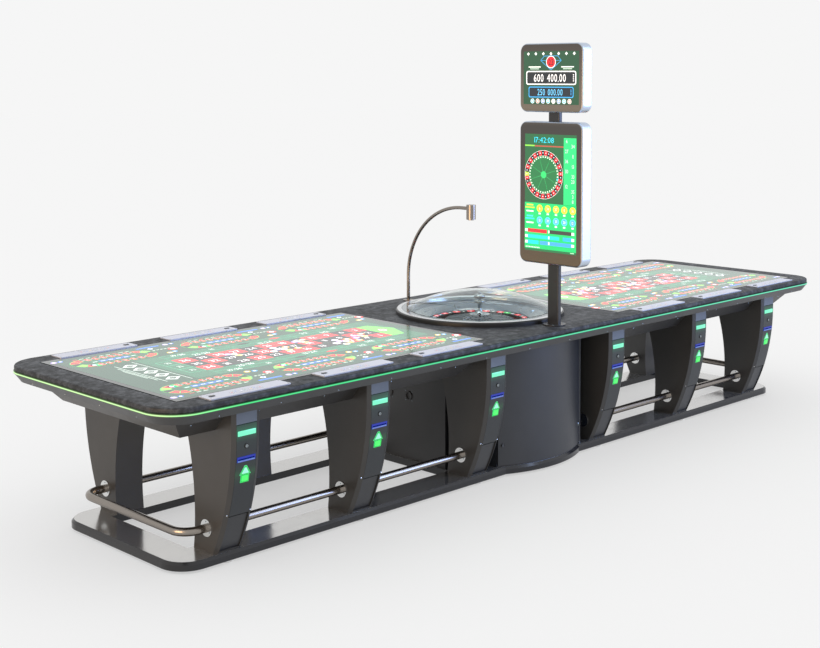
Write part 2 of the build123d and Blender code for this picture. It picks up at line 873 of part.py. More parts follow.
# ---- station plates and buttons ------------------------------------------------------------
def plate_places():
    """Place of each station plate: x and turn, front row then rear row."""
    row = [side * glass_mid_x + k * plate_pitch for side in (-1, 1) for k in (-1, 0, 1)]
    return [(x, turn) for turn in (0, 180) for x in row]


def plate_mid_y():
    """Middle of a front plate, just outside the glass."""
    return -(glass_width / 2 + plate_gap + plate_wide / 2)


def station_plate():
    """Metal plate with the pocket for its push button."""
    plan = RectangleRounded(plate_long, plate_wide, plate_corner_r)
    plate = extrude(Pos(0, plate_mid_y(), table_height) * plan, amount=plate_thick)
    pocket = Box(button_long, button_wide, 4 * plate_thick)
    return one(plate - Pos(-button_offset, plate_mid_y(), table_height) * pocket)


def station_button():
    """Push button standing a little above its plate."""
    body = Box(button_long - 2 * button_play, button_wide - 2 * button_play, button_high)
    z = table_height + plate_thick + button_proud - button_high / 2
    cap = fillet(body.edges().filter_by(Axis.Z), button_corner_r)
    return Pos(-button_offset, plate_mid_y(), z) * cap


# ---- display tower -------------------------------------------------------------------------
def housing(z0, z1, screen):
    """Two-sided display case: a hollow frame with a seat for a screen in each face."""
    plan = RectangleRounded(housing_wide, z1 - z0, housing_corner_r)
    mid_z = (z0 + z1) / 2
    face = Plane((-housing_deep / 2, tower_y, mid_z), x_dir=(0, 1, 0), z_dir=(1, 0, 0))
    case = extrude(face * plan, amount=housing_deep)
    rims = [e for e in case.edges() if abs(abs(e.center().X) - housing_deep / 2) < 0.01]
    case = fillet(rims, housing_edge_r)
    for glass in screen_slabs(z0, z1, screen):
        case -= glass
    inside = (screen[0] - 2 * screen_seat, screen[1] - 2 * screen_seat)
    return one(case - Pos(0, tower_y, mid_z) * Box(housing_deep, *inside))


def screen_slabs(z0, z1, screen):
    """Front and back screens of one display case."""
    mid_z = (z0 + z1) / 2
    slabs = []
    for side in SIDES:
        x = side * (housing_deep - screen_slab) / 2
        slabs.append(Pos(x, tower_y, mid_z) * Box(screen_slab, *screen))
    return slabs


def tower_pole():
    """Base disc, pole and the short neck between the two displays."""
    top = table_height + tower_disc_thick
    foot = disc(0, tower_y, table_height, top, tower_disc_r)
    section = RectangleRounded(pole_deep, pole_wide, pole_corner_r)
    pole = extrude(Pos(0, tower_y, top) * section, amount=screen_bottom_z - top)
    neck = extrude(Pos(0, tower_y, screen_top_z) * section, amount=sign_bottom_z - screen_top_z)
    return foot, pole, neck


# ---- camera arm ----------------------------------------------------------------------------
def arm_path(end_y):
    """Line of the arm: up, round one large bend, and level to the camera."""
    low_z = table_height + arm_flange_thick
    bend_y = arm_y - arm_bend_r
    up = Line((0, arm_y, low_z), (0, arm_y, arm_bend_z))
    knee = arm_bend_r * math.sin(math.radians(45))
    bend = ThreePointArc(
        (0, arm_y, arm_bend_z),
        (0, bend_y + knee, arm_bend_z + knee),
        (0, bend_y, arm_bend_z + arm_bend_r),
    )
    level = Line((0, bend_y, arm_bend_z + arm_bend_r), (0, end_y, arm_bend_z + arm_bend_r))
    return Wire([up.edge(), bend.edge(), level.edge()])


def camera_arm():
    """Flange and bent tube."""
    path = arm_path(head_y + head_r - socket_deep)
    start = Plane((0, arm_y, table_height + arm_flange_thick), z_dir=(0, 0, 1))
    tube = sweep(start * Circle(arm_r), path=path)
    flange = disc(0, arm_y, table_height, table_height + arm_flange_thick, arm_flange_r)
    return flange, one(tube)


def camera_head():
    """Camera can with a socket for the arm, and its lens below."""
    mid_z = arm_bend_z + arm_bend_r
    top = mid_z + head_above
    can = disc(0, head_y, top - head_high, top, head_r)
    rim_y = head_y + head_r
    socket = bar_y(0, rim_y - socket_deep, rim_y + socket_deep, mid_z, arm_r)
    lens = disc(0, head_y, top - head_high - lens_thick, top - head_high, lens_r)
    return one(can - socket), lens


# ---- build ---------------------------------------------------------------------------------
def build_table():
    """The parts of the top."""
    save("edge_apron", edge_apron())
    save("light_guide", light_guide())
    save("deck_panel", deck_panel())
    save("armrest", armrest())
    save("monitor_housings", *[monitor_housing(side) for side in SIDES])
    save("lcd_panels", *[lcd_panel(side) for side in SIDES])
    save("screen_glasses", *[screen_glass(side) for side in SIDES])
    plate = station_plate()
    button = station_button()
    save("station_plates", *[placed(plate, x, turn) for x, turn in plate_places()])
    for number, (x, turn) in enumerate(plate_places(), 1):
        save(f"station_button_{number:02d}", placed(button, x, turn))


def build_base():
    """The base, its feet and the pedestals."""
    save("base_frame", *base_frame())
    foot_y = base_width / 2 - foot_setback
    feet = [levelling_foot(x, foot_y if turn else -foot_y) for _, x, turn in stations()]
    save("levelling_feet", *feet)
    shells = {True: pedestal_shell(True), False: pedestal_shell(False)}
    under_tub = pedestal_inner_x + 1
    save("pedestal_shells", *[placed(shells[abs(x) > under_tub], x, turn) for _, x, turn in stations()])
    cap = front_strip(tray_bottom - cap_high, tray_bottom, 0, cap_thick, flat_half)
    kick = front_strip(kick_bottom, kick_top, kick_inset, pedestal_wall, flat_half)
    pin_half = half_wide - hinge_pin_margin
    pin = bar_x(-pin_half, pin_half, *hinge_line(), hinge_pin_r)
    reader = bill_validator()
    save("cap_plates", *[placed(cap, x, turn) for _, x, turn in stations()])
    save("kick_panels", *[placed(kick, x, turn) for _, x, turn in stations()])
    save("bill_validators", *[placed(reader, x, turn) for _, x, turn in stations()])
    pins = [placed(pin, x, turn) for _, x, turn in stations()]
    pins += [disc(*hinge_corner(side), base_top, tray_bottom, hinge_pin_r) for side in SIDES]
    save("hinge_pins", *pins)
    leaf, bezel, lock = door_leaf(), slot_bezel(), lock_barrel()
    for number, x, turn in stations():
        save(f"pedestal_door_{number:02d}", *[placed(piece, x, turn) for piece in (leaf, bezel, lock)])
    save("side_foot_rails", *side_rails())
    save("end_foot_rails", *[end_rail(side) for side in SIDES])
    save("rail_flanges", *rail_flanges())


def build_centre():
    """The cabinet and the wheel."""
    save("centre_cabinet", centre_cabinet())
    save("cabinet_door_front", *cabinet_door(-1))
    save("cabinet_door_rear", *cabinet_door(1))
    bowl = wheel_bowl()
    save("wheel_ring", wheel_ring())
    save("wheel_bowl", bowl)
    save("ball_deflectors", *ball_deflectors(bowl))
    save("rotor_head", rotor_head())
    save("rotor_frets", *rotor_frets())
    save("turret", turret())
    save("glass_dome", glass_dome())
    save("ball", ball())
    save("wheel_drive", wheel_drive())


def build_tower():
    """The display tower and the camera arm."""
    save("tower_pole", *tower_pole())
    save("display_housing", housing(screen_bottom_z, screen_top_z, main_screen))
    save("sign_housing", housing(sign_bottom_z, sign_top_z, sign_screen))
    main = screen_slabs(screen_bottom_z, screen_top_z, main_screen)
    sign = screen_slabs(sign_bottom_z, sign_top_z, sign_screen)
    save("display_screens", *main, *sign)
    save("camera_arm", *camera_arm())
    save("camera_head", *camera_head())


build_table()
build_base()
build_centre()
build_tower()
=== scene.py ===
# %% [markdown]
# # A twelve-seat roulette table
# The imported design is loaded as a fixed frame. Its pieces already have their true sizes and places, so
# every piece made here takes its place from the frame's boxes. All lengths are in metres.

# %% Load the frame
import math

import bmesh
import bpy
from mathutils import Matrix, Vector


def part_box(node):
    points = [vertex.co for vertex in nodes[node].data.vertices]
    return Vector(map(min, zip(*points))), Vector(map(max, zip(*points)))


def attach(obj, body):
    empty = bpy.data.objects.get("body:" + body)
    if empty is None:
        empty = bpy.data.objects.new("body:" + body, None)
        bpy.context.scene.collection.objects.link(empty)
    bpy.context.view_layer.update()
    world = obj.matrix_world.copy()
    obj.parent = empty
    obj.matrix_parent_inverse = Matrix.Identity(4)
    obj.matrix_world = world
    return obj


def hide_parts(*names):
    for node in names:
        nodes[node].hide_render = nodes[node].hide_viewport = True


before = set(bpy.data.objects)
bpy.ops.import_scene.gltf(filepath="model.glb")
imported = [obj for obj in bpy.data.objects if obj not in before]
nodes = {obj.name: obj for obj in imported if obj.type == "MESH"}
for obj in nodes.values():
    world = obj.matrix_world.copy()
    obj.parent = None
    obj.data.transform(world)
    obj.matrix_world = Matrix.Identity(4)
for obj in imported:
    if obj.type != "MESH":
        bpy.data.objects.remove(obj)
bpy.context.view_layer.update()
MM = 0.001
FRONT, REAR = 0, 1

# %% [markdown]
# ## Camera
# The view looks along the table from its front left corner, a little from above. A long lens keeps the two
# ends alike in size. The frame is shifted, not tilted, so that the tower stays upright.

# %% Camera
SENSOR = 36.0
LENS = 59.72
EYE = (-5.6633, -5.1364, 2.1117)
YAW = 0.7826
PITCH = 0.0526
SHIFT_UP = -0.2152

camera_data = bpy.data.cameras.new("camera")
camera_data.sensor_width = SENSOR
camera_data.lens = LENS
camera_data.shift_y = SHIFT_UP
camera_data.clip_end = 100.0
camera = bpy.data.objects.new("camera", camera_data)
camera.location = EYE
camera.rotation_euler = (math.pi / 2 - PITCH, 0.0, -YAW)
bpy.context.scene.collection.objects.link(camera)
bpy.context.scene.camera = camera
print("camera at", EYE)

# %% [markdown]
# ## Colour and node helpers
# Colours are written the way a paint shop writes them, as sRGB hex, and one function turns them to the linear
# values that the renderer works in. One more function adds a node, sets it and links it.

# %% Helpers for colours and nodes
def linear(code, alpha=1.0):
    """Linear RGBA of an sRGB hex colour."""
    parts = [int(code[k : k + 2], 16) / 255 for k in (1, 3, 5)]
    return (*[p / 12.92 if p <= 0.04045 else ((p + 0.055) / 1.055) ** 2.4 for p in parts], alpha)


def add(tree, kind, inputs=None, **settings):
    """Add a node with its settings. An input's value may be a socket to link from."""
    node = tree.nodes.new(kind)
    for name, value in settings.items():
        setattr(node, name, value)
    for key, value in (inputs or {}).items():
        if isinstance(value, bpy.types.NodeSocket):
            tree.links.new(value, node.inputs[key])
        else:
            node.inputs[key].default_value = value
    return node


def finish_of(name, **shader):
    """New material: its tree, its Principled shader with constants set, and object coordinates."""
    material = bpy.data.materials.new(name)
    material.use_nodes = True
    tree = material.node_tree
    tree.nodes.clear()
    principled = add(tree, "ShaderNodeBsdfPrincipled", shader)
    add(tree, "ShaderNodeOutputMaterial", {"Surface": principled.outputs[0]})
    place = add(tree, "ShaderNodeTexCoord").outputs["Object"]
    return material, tree, principled, place


def ramp(tree, value, *stops):
    """Colour ramp from (position, hex) stops."""
    node = add(tree, "ShaderNodeValToRGB", {"Fac": value})
    while len(node.color_ramp.elements) < len(stops):
        node.color_ramp.elements.new(0.5)
    for element, (position, code) in zip(node.color_ramp.elements, stops):
        element.position = position
        element.color = linear(code)
    return node.outputs["Color"]


def spread(tree, value, low, high):
    """Map a 0 to 1 pattern to the range low to high."""
    node = add(tree, "ShaderNodeMapRange", {"Value": value, "To Min": low, "To Max": high})
    return node.outputs["Result"]


def noise(tree, place, size, detail=2.0, rough=0.5):
    """Noise whose blobs are about size across."""
    inputs = {"Vector": place, "Scale": 1 / size, "Detail": detail, "Roughness": rough}
    return add(tree, "ShaderNodeTexNoise", inputs).outputs["Fac"]


def bump(tree, principled, height, depth):
    """Relief of the given depth on a shader."""
    node = add(tree, "ShaderNodeBump", {"Height": height, "Distance": depth, "Strength": 1.0})
    tree.links.new(node.outputs["Normal"], principled.inputs["Normal"])


print("helpers ready")

# %% [markdown]
# ## Painted steel
# The pedestals, the cabinet and the skirt under the top are folded sheet steel with a powder coat. The powder
# melts into a satin skin with a very fine orange peel, so highlights are broad and soft and never mirror-like.

# %% Powder coats
def powder_coat(name, dark, light, rough=0.42):
    """Satin powder coat: two close tones, uneven gloss and a fine orange peel."""
    material, tree, shader, place = finish_of(name, Roughness=rough)
    patch = noise(tree, place, 220 * MM, 3)
    colour = ramp(tree, patch, (0.3, dark), (0.7, light))
    tree.links.new(colour, shader.inputs["Base Color"])
    tree.links.new(spread(tree, noise(tree, place, 60 * MM), rough - 0.05, rough + 0.06),
        shader.inputs["Roughness"])
    bump(tree, shader, noise(tree, place, 2.5 * MM), 0.02 * MM)
    return material


anthracite = powder_coat("anthracite_powder_coat", "#2c2b2a", "#32312f", 0.4)
anthracite_dark = powder_coat("dark_powder_coat", "#242527", "#2a2b2d", 0.38)
slate = powder_coat("slate_blue_powder_coat", "#4a525e", "#535c68", 0.36)
pole_coat = powder_coat("black_tube_coat", "#232222", "#292828", 0.3)
print("powder coats:", anthracite.name, anthracite_dark.name, slate.name, pole_coat.name)

# %% [markdown]
# ## Lacquer, leatherette and plastics
# The base is a lacquered board, polished to a gloss that mirrors the rails. The top is covered in a grained
# leatherette over foam: a charcoal vinyl whose pebbled grain catches the light as a fine mottle. Buttons,
# skirts and cases are moulded plastic.

# %% Lacquer, leatherette and plastic
def polished_base():
    """Black lacquered edge under a mirror-polished top plate: level faces are metal, the others lacquer."""
    material, tree, shader, place = finish_of("mirror_plate_on_black_lacquer", Roughness=0.12)
    upward = add(tree, "ShaderNodeSeparateXYZ",
        {"Vector": add(tree, "ShaderNodeNewGeometry").outputs["True Normal"]})
    level = add(tree, "ShaderNodeMath", {0: upward.outputs["Z"], 1: 0.95},
        operation="GREATER_THAN").outputs[0]
    tree.links.new(spread(tree, level, 0.0, 0.9), shader.inputs["Metallic"])
    tree.links.new(ramp(tree, level, (0.0, "#1b1c1f"), (1.0, "#c9c8c6")), shader.inputs["Base Color"])
    haze = noise(tree, place, 70 * MM, 4)
    tree.links.new(spread(tree, haze, 0.07, 0.24), shader.inputs["Roughness"])
    return material


def leatherette():
    """Grained vinyl: soft pebbles, drawn 7 mm wide so that they show, over blotches of two close greys."""
    material, tree, shader, place = finish_of("charcoal_leatherette", Roughness=0.6)
    pebble = add(tree, "ShaderNodeTexVoronoi", {"Vector": place, "Scale": 1 / (7 * MM)}).outputs["Distance"]
    cloud = noise(tree, place, 38 * MM, 6, 0.72)
    grain = add(tree, "ShaderNodeMath", {0: pebble, 1: cloud}, operation="MULTIPLY").outputs[0]
    tree.links.new(ramp(tree, cloud, (0.36, "#0e1013"), (0.5, "#1f2226"), (0.66, "#3c3f44")),
        shader.inputs["Base Color"])
    tree.links.new(spread(tree, cloud, 0.85, 0.3), shader.inputs["Roughness"])
    shader.inputs["Specular IOR Level"].default_value = 0.42
    bump(tree, shader, grain, 1.1 * MM)
    return material


def moulded(name, code, rough=0.45):
    """Moulded ABS with a fine spark-eroded texture."""
    material, tree, shader, place = finish_of(name, Roughness=rough)
    shader.inputs["Base Color"].default_value = linear(code)
    bump(tree, shader, noise(tree, place, 1.2 * MM), 0.03 * MM)
    tree.links.new(spread(tree, noise(tree, place, 40 * MM), rough - 0.06, rough + 0.06),
        shader.inputs["Roughness"])
    return material


base_plate = polished_base()
vinyl = leatherette()
black_abs = moulded("black_moulded_abs", "#141415", 0.4)
skirt_rubber = moulded("dark_ring_skirt", "#1c1b1b", 0.33)
button_abs = moulded("black_button_abs", "#0c0c0d", 0.2)
ivory = moulded("ivory_acetal", "#efeee6", 0.15)
board = moulded("plain_deck_board", "#8a7458", 0.7)
print("lacquer, leatherette and plastics ready")

# %% [markdown]
# ## Metals
# Foot rails are stainless steel, brushed along their length: long fine scratches that stretch the highlights.
# Their flanges are polished, the wheel's handle is plated, and the players' plates are blasted with fine beads.
# The display cases are anodised aluminium in warm grey, with painted light: a painted gradient of light and shade
# up their faces, and a painted highlight that makes them pale silver-blue round the rim.

# %% Metals
def metal(name, code, rough, scratch=0.0):
    """Polished or brushed metal. Brushed metal gets fine long streaks in its gloss."""
    material, tree, shader, place = finish_of(name, Metallic=1.0, Roughness=rough)
    shader.inputs["Base Color"].default_value = linear(code)
    if scratch:
        stretch = add(tree, "ShaderNodeMapping", {"Vector": place, "Scale": (4.0, 60.0, 60.0)}).outputs[0]
        streak = add(tree, "ShaderNodeTexNoise",
            {"Vector": stretch, "Scale": 12.0, "Detail": 3.0}).outputs["Fac"]
        tree.links.new(spread(tree, streak, rough - scratch, rough + scratch), shader.inputs["Roughness"])
    else:
        wear = noise(tree, place, 30 * MM, 3)
        tree.links.new(spread(tree, wear, rough * 0.7, rough * 1.4), shader.inputs["Roughness"])
    return material


stainless = metal("brushed_stainless_steel", "#918a83", 0.26, 0.08)
polished = metal("polished_stainless_steel", "#dcdcdb", 0.1)
chrome = metal("chrome_plate", "#8f989d", 0.12)
silver = metal("satin_aluminium_ring", "#d5d8da", 0.22)
arm_metal = metal("nickel_plated_tube", "#8d857d", 0.25)


def plate_finish():
    """Bead-blasted steel plate under clear lacquer: pale, slightly lavender, with no streaks."""
    material, tree, shader, place = finish_of("bead_blasted_plate", Metallic=0.35, Roughness=0.42)
    shader.inputs["Base Color"].default_value = linear("#b4b6c0")
    bump(tree, shader, noise(tree, place, 1.5 * MM), 0.03 * MM)
    return material


def case_finish():
    """Anodised case in bronze-grey with painted light: a painted gradient of light and shade by height on its two
    faces, and a painted highlight in bright silver-blue round its rim.
    """
    material, tree, shader, place = finish_of("two_tone_anodised_case", Metallic=1.0, Roughness=0.34)
    across = add(tree, "ShaderNodeSeparateXYZ",
        {"Vector": add(tree, "ShaderNodeNewGeometry").outputs["True Normal"]})
    facing = add(tree, "ShaderNodeMath", {0: across.outputs["X"]}, operation="ABSOLUTE").outputs[0]
    up = add(tree, "ShaderNodeSeparateXYZ", {"Vector": place}).outputs["Z"]
    # Painted light and shade: the faces get lighter and warmer at the foot and in one band higher up, and darker
    # between and at the top.
    height = add(tree, "ShaderNodeMapRange",
        {"Value": up, "From Min": 1.1, "From Max": 2.3}).outputs["Result"]
    face = ramp(tree, height, (0.0, "#80715f"), (0.2, "#675f58"), (0.62, "#5b5855"), (0.7, "#8a7f72"),
        (1.0, "#5d5854"))
    # Painted highlight: where a face does not look along X, round the rim, the colour turns pale silver-blue.
    rim = add(tree, "ShaderNodeMix", {0: facing, 6: linear("#c3cedd"), 7: face}, data_type="RGBA")
    soft = add(tree, "ShaderNodeMapRange",
        {"Value": facing, "From Min": 0.75, "From Max": 0.98}).outputs["Result"]
    tree.links.new(soft, rim.inputs[0])
    tree.links.new(rim.outputs[2], shader.inputs["Base Color"])
    tree.links.new(spread(tree, noise(tree, place, 40 * MM, 3), 0.3, 0.4), shader.inputs["Roughness"])
    return material


plate_steel = plate_finish()
anodised = case_finish()
print("metals ready")

# %% [markdown]
# ## Lit finishes
# The light line round the top is a frosted acrylic guide with LEDs behind it. The LEDs change slowly along the
# table, from yellow-green at the near end to mint and teal, so the colour is a ramp along X. The core is bright
# and a dim haze lies above and below it, as in a real diffuser.

# %% Lit finishes
def glow(name, code, strength, surface="#0a0f0c", rough=0.25):
    """Lit acrylic of one colour."""
    material, _, shader, _ = finish_of(name, Roughness=rough)
    shader.inputs["Base Color"].default_value = linear(surface)
    shader.inputs["Emission Color"].default_value = linear(code)
    shader.inputs["Emission Strength"].default_value = strength
    return material


def light_line():
    """Frosted guide: a thin bright core in a dim haze, with a colour that runs along the table."""
    material, tree, shader, place = finish_of("frosted_led_light_guide", Roughness=0.4)
    shader.inputs["Base Color"].default_value = linear("#0d2018")
    along = add(tree, "ShaderNodeSeparateXYZ", {"Vector": place})
    inputs = {"Value": along.outputs["X"], "From Min": -2.6, "From Max": 2.6}
    share = add(tree, "ShaderNodeMapRange", inputs).outputs["Result"]
    stops = ((0.0, "#cdf7a8"), (0.035, "#86ee90"), (0.08, "#3bdc78"), (0.2, "#33d67c"), (0.55, "#45d69c"),
        (1.0, "#62deb4"))
    tree.links.new(ramp(tree, share, *stops), shader.inputs["Emission Color"])
    low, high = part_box("light_guide")
    middle = add(tree, "ShaderNodeMath", {0: along.outputs["Z"], 1: (low.z + high.z) / 2},
        operation="SUBTRACT").outputs[0]
    away = add(tree, "ShaderNodeMath", {0: middle}, operation="ABSOLUTE").outputs[0]
    inputs = {"Value": away, "From Min": 1.2 * MM, "From Max": 4.2 * MM, "To Min": 1.25, "To Max": 0.1}
    tree.links.new(add(tree, "ShaderNodeMapRange", inputs,
        interpolation_type="SMOOTHSTEP").outputs["Result"], shader.inputs["Emission Strength"])
    return material


def display_ink():
    """Picture elements under bonded glass: each has its own colour, lit from behind, with a gloss coat."""
    material, tree, shader, _ = finish_of("lit_display_under_glass", Roughness=0.22)
    colour = add(tree, "ShaderNodeAttribute", attribute_name="ink").outputs["Color"]
    tree.links.new(colour, shader.inputs["Base Color"])
    tree.links.new(colour, shader.inputs["Emission Color"])
    shader.inputs["Emission Strength"].default_value = 0.55
    shader.inputs["Coat Weight"].default_value = 0.5
    shader.inputs["Coat Roughness"].default_value = 0.08
    return material


led_line = light_line()
ink = display_ink()
mint_light = glow("mint_light_bar", "#7dffce", 1.0)
green_light = glow("green_arrow_light", "#1fdc5c", 0.9)
pale_light = glow("pale_arrow_light", "#a8fbe6", 0.95)
blue_light = glow("blue_slot_light", "#0a2cc0", 0.6, "#0c1440")
lavender_light = glow("lavender_slot_lip", "#8f9fe8", 0.4, "#303c80")
print("lit finishes ready")

# %% [markdown]
# ## Glass
# The display glass is bonded to the screens, so it is a near-black mirror with a green depth. The dome over the
# wheel is clear acrylic. Acrylic's own index is 1.49, but with that value the white room's reflection veils the
# wheel under the dome, so a much lower index is used here. It also bends less than real acrylic does.

# %% Glass
DOME_INDEX = 1.13


def display_glass():
    """Bonded cover glass over a dark display."""
    material, tree, shader, place = finish_of("bonded_cover_glass", Roughness=0.16)
    tone = noise(tree, place, 300 * MM, 2)
    tree.links.new(ramp(tree, tone, (0.3, "#141c1a"), (0.7, "#1a2422")), shader.inputs["Base Color"])
    shader.inputs["Coat Weight"].default_value = 0.5
    shader.inputs["Coat Roughness"].default_value = 0.05
    return material


def clear_dome():
    """Clear acrylic: all transmission, with a faint unevenness in its gloss and a lowered index."""
    material, tree, shader, place = finish_of("clear_acrylic_dome", Roughness=0.01, IOR=DOME_INDEX)
    shader.inputs["Base Color"].default_value = linear("#f4f9f8")
    shader.inputs["Transmission Weight"].default_value = 1.0
    tree.links.new(spread(tree, noise(tree, place, 45 * MM, 3), 0.0, 0.015), shader.inputs["Roughness"])
    return material


cover_glass = display_glass()
acrylic = clear_dome()
print("glass ready")

# %% [markdown]
# ## Room, floor and lights
# A pale studio: white surroundings and a matt floor that glows a little. A warm soft light fills the left end and
# cool ones the right and the front, so the short side of each pedestal is warm brown and its front is cool grey.
# The light above is kept out of reflections, because its mirror image would whiten the cone of the wheel.

# %% Room, floor and lights
def floor_finish():
    """Light floor of a studio cove: lit from inside as much as from above, so shadows stay pale."""
    material, _, shader, _ = finish_of("lit_studio_floor", Roughness=0.5)
    shader.inputs["Base Color"].default_value = linear("#b4b4b4")
    shader.inputs["Specular IOR Level"].default_value = 0.0
    shader.inputs["Emission Color"].default_value = linear("#ffffff")
    shader.inputs["Emission Strength"].default_value = 0.5
    return material


floor_mesh = bpy.data.meshes.new("studio_floor")
FLOOR_HALF = 60.0
corners = [(u * FLOOR_HALF, v * FLOOR_HALF) for u, v in ((-1, -1), (1, -1), (1, 1), (-1, 1))]
floor_mesh.from_pydata([(x, y, -0.0005) for x, y in corners], [], [(0, 1, 2, 3)])
floor_mesh.materials.append(floor_finish())
floor = bpy.data.objects.new("studio_floor", floor_mesh)
bpy.context.scene.collection.objects.link(floor)

world = bpy.data.worlds.new("studio")
bpy.context.scene.world = world
world.use_nodes = True
world.node_tree.nodes["Background"].inputs["Color"].default_value = linear("#f6f6f6")
world.node_tree.nodes["Background"].inputs["Strength"].default_value = 1.0
bpy.context.scene.view_settings.view_transform = "Standard"

spared = bpy.data.collections.new("spared_by_the_lamps")
spared.objects.link(floor)
spared.collection_objects[0].light_linking.link_state = "EXCLUDE"


def softbox(name, place, aim, size, watts, code):
    """Rectangular area light at a place, aimed at a point. It models the table and leaves the floor alone."""
    data = bpy.data.lights.new(name, "AREA")
    data.shape = "RECTANGLE"
    data.size, data.size_y = size
    data.energy = watts
    data.color = linear(code)[:3]
    lamp = bpy.data.objects.new(name, data)
    lamp.location = place
    lamp.rotation_euler = (Vector(aim) - Vector(place)).to_track_quat("-Z", "Y").to_euler()
    lamp.light_linking.receiver_collection = spared
    lamp.visible_camera = False
    bpy.context.scene.collection.objects.link(lamp)
    return lamp


softbox("warm_left", (-6.5, -1.0, 1.2), (-2.0, 0.0, 0.4), (3.0, 2.4), 150, "#ffd2a0")
softbox("cool_front", (3.2, -5.0, 1.6), (0.6, 0.0, 0.5), (3.0, 2.0), 190, "#9dbcff")
softbox("cool_right", (2.0, -3.5, 3.4), (0.0, -0.5, 1.7), (2.0, 2.0), 60, "#bcd4ff")
high_box = softbox("overhead", (0.0, 0.5, 5.5), (0.0, 0.0, 0.8), (6.0, 3.0), 260, "#ffffff")
high_box.visible_glossy = False

# %% [markdown]
# ## Finishes on the pieces that stay
# Sheet metal, rails, feet and most of the wheel already have their real shape in the frame. Each one gets its
# real finish in place of the plain one.

# %% Finishes on the pieces that stay
KEPT = {
    "base_frame": base_plate, "pedestal_shells": anthracite, "centre_cabinet": anthracite_dark,
    "cabinet_door_front": anthracite_dark, "cabinet_door_rear": anthracite_dark,
    "monitor_housings": anthracite, "edge_apron": anthracite_dark, "kick_panels": anthracite_dark,
    "cap_plates": slate, "end_foot_rails": stainless, "side_foot_rails": stainless,
    "rail_flanges": polished, "hinge_pins": polished, "levelling_feet": polished,
    "light_guide": led_line, "screen_glasses": cover_glass, "deck_panel": board, "lcd_panels": black_abs,
    "bill_validators": black_abs, "wheel_drive": anthracite_dark, "tower_pole": pole_coat,
    "display_housing": anodised, "sign_housing": anodised, "display_screens": cover_glass,
    "camera_arm": arm_metal, "camera_head": arm_metal, "ball": ivory,
    "station_plates": plate_steel, "ball_deflectors": chrome, "rotor_frets": chrome, "turret": chrome,
}
for node, finish in KEPT.items():
    for place in nodes[node].material_slots:
        place.material = finish
for number in range(1, 13):
    nodes[f"station_button_{number:02d}"].material_slots[0].material = button_abs
print("finished", len(KEPT) + 12, "kept pieces")

# %% [markdown]
# ## Building blocks for shapes
# Every new piece is a closed mesh that already stands where it belongs, so its object stays at the origin. Few
# shapes cover most of the table: a profile turned round an axis, a flat outline with thickness and eased
# edges, and a sheet with rectangular holes that follows a curved surface.

# %% Building blocks for shapes
def settle(name, mesh, body, finishes, stands_for=(), crease=35):
    """Make the object of a finished mesh, with its finishes and body; the frame pieces it stands for are hidden.
    """
    mesh.name = name
    for finish in finishes if isinstance(finishes, (list, tuple)) else (finishes,):
        mesh.materials.append(finish)
    mesh.shade_smooth()
    mesh.set_sharp_from_angle(angle=math.radians(crease))
    piece = bpy.data.objects.new(name, mesh)
    bpy.context.scene.collection.objects.link(piece)
    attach(piece, body)
    if stands_for:
        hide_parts(*stands_for)
    return piece


def closed(work, merge=0.002 * MM):
    """Mesh of a bmesh whose doubles are merged and whose faces point outwards."""
    bmesh.ops.remove_doubles(work, verts=work.verts, dist=merge)
    bmesh.ops.recalc_face_normals(work, faces=work.faces)
    mesh = bpy.data.meshes.new("closed")
    work.to_mesh(mesh)
    work.free()
    return mesh


def turned(work, profile, count, spot=(0, 0, 0), material=0):
    """Turn a closed profile of (radius, height) round a vertical axis through spot."""
    rings = []
    for k in range(count):
        angle = 2 * math.pi * k / count
        c, s = math.cos(angle), math.sin(angle)
        rings.append([work.verts.new((spot[0] + r * c, spot[1] + r * s, spot[2] + z)) for r, z in profile])
    size = len(profile)
    for k in range(count):
        here, there = rings[k], rings[(k + 1) % count]
        for j in range(size):
            if max(profile[j][0], profile[(j + 1) % size][0]) < 1e-9:
                continue
            loop = [here[j], there[j], there[(j + 1) % size], here[(j + 1) % size]]
            work.faces.new(loop).material_index = material


def slab(work, outline, low, high, ease=0.0, place=None, material=0):
    """Outline of (u, v) points, thick from low to high along w, with its top edge eased, moved by place."""
    bottom = [work.verts.new((u, v, low)) for u, v in outline]
    top = [work.verts.new((u, v, high)) for u, v in outline]
    count = len(outline)
    faces = [work.faces.new(top), work.faces.new(bottom[::-1])]
    for k in range(count):
        n = (k + 1) % count
        faces.append(work.faces.new((bottom[k], bottom[n], top[n], top[k])))
    for face in faces:
        face.material_index = material
    verts = bottom + top
    if ease:
        before = set(work.verts) - set(verts)
        bmesh.ops.bevel(work, geom=list(faces[0].edges), offset=ease, segments=2, affect="EDGES",
            profile=0.5)
        verts = [v for v in work.verts if v not in before]
    if place is not None:
        for vert in verts:
            vert.co = place(*vert.co) if callable(place) else place @ vert.co
    return verts


def rounded(half_u, half_v, radius, mid_u=0.0, mid_v=0.0, steps=5):
    """Outline of a rectangle with round corners."""
    points = []
    for corner, (su, sv) in enumerate(((1, 1), (-1, 1), (-1, -1), (1, -1))):
        for k in range(steps + 1):
            angle = math.pi / 2 * (corner + k / steps)
            u = mid_u + su * (half_u - radius) + radius * math.cos(angle)
            points.append((u, mid_v + sv * (half_v - radius) + radius * math.sin(angle)))
    return points


def circle(radius, mid_u=0.0, mid_v=0.0, steps=24):
    """Outline of a circle."""
    turn = 2 * math.pi / steps
    return [(mid_u + radius * math.cos(turn * k), mid_v + radius * math.sin(turn * k))
        for k in range(steps)]


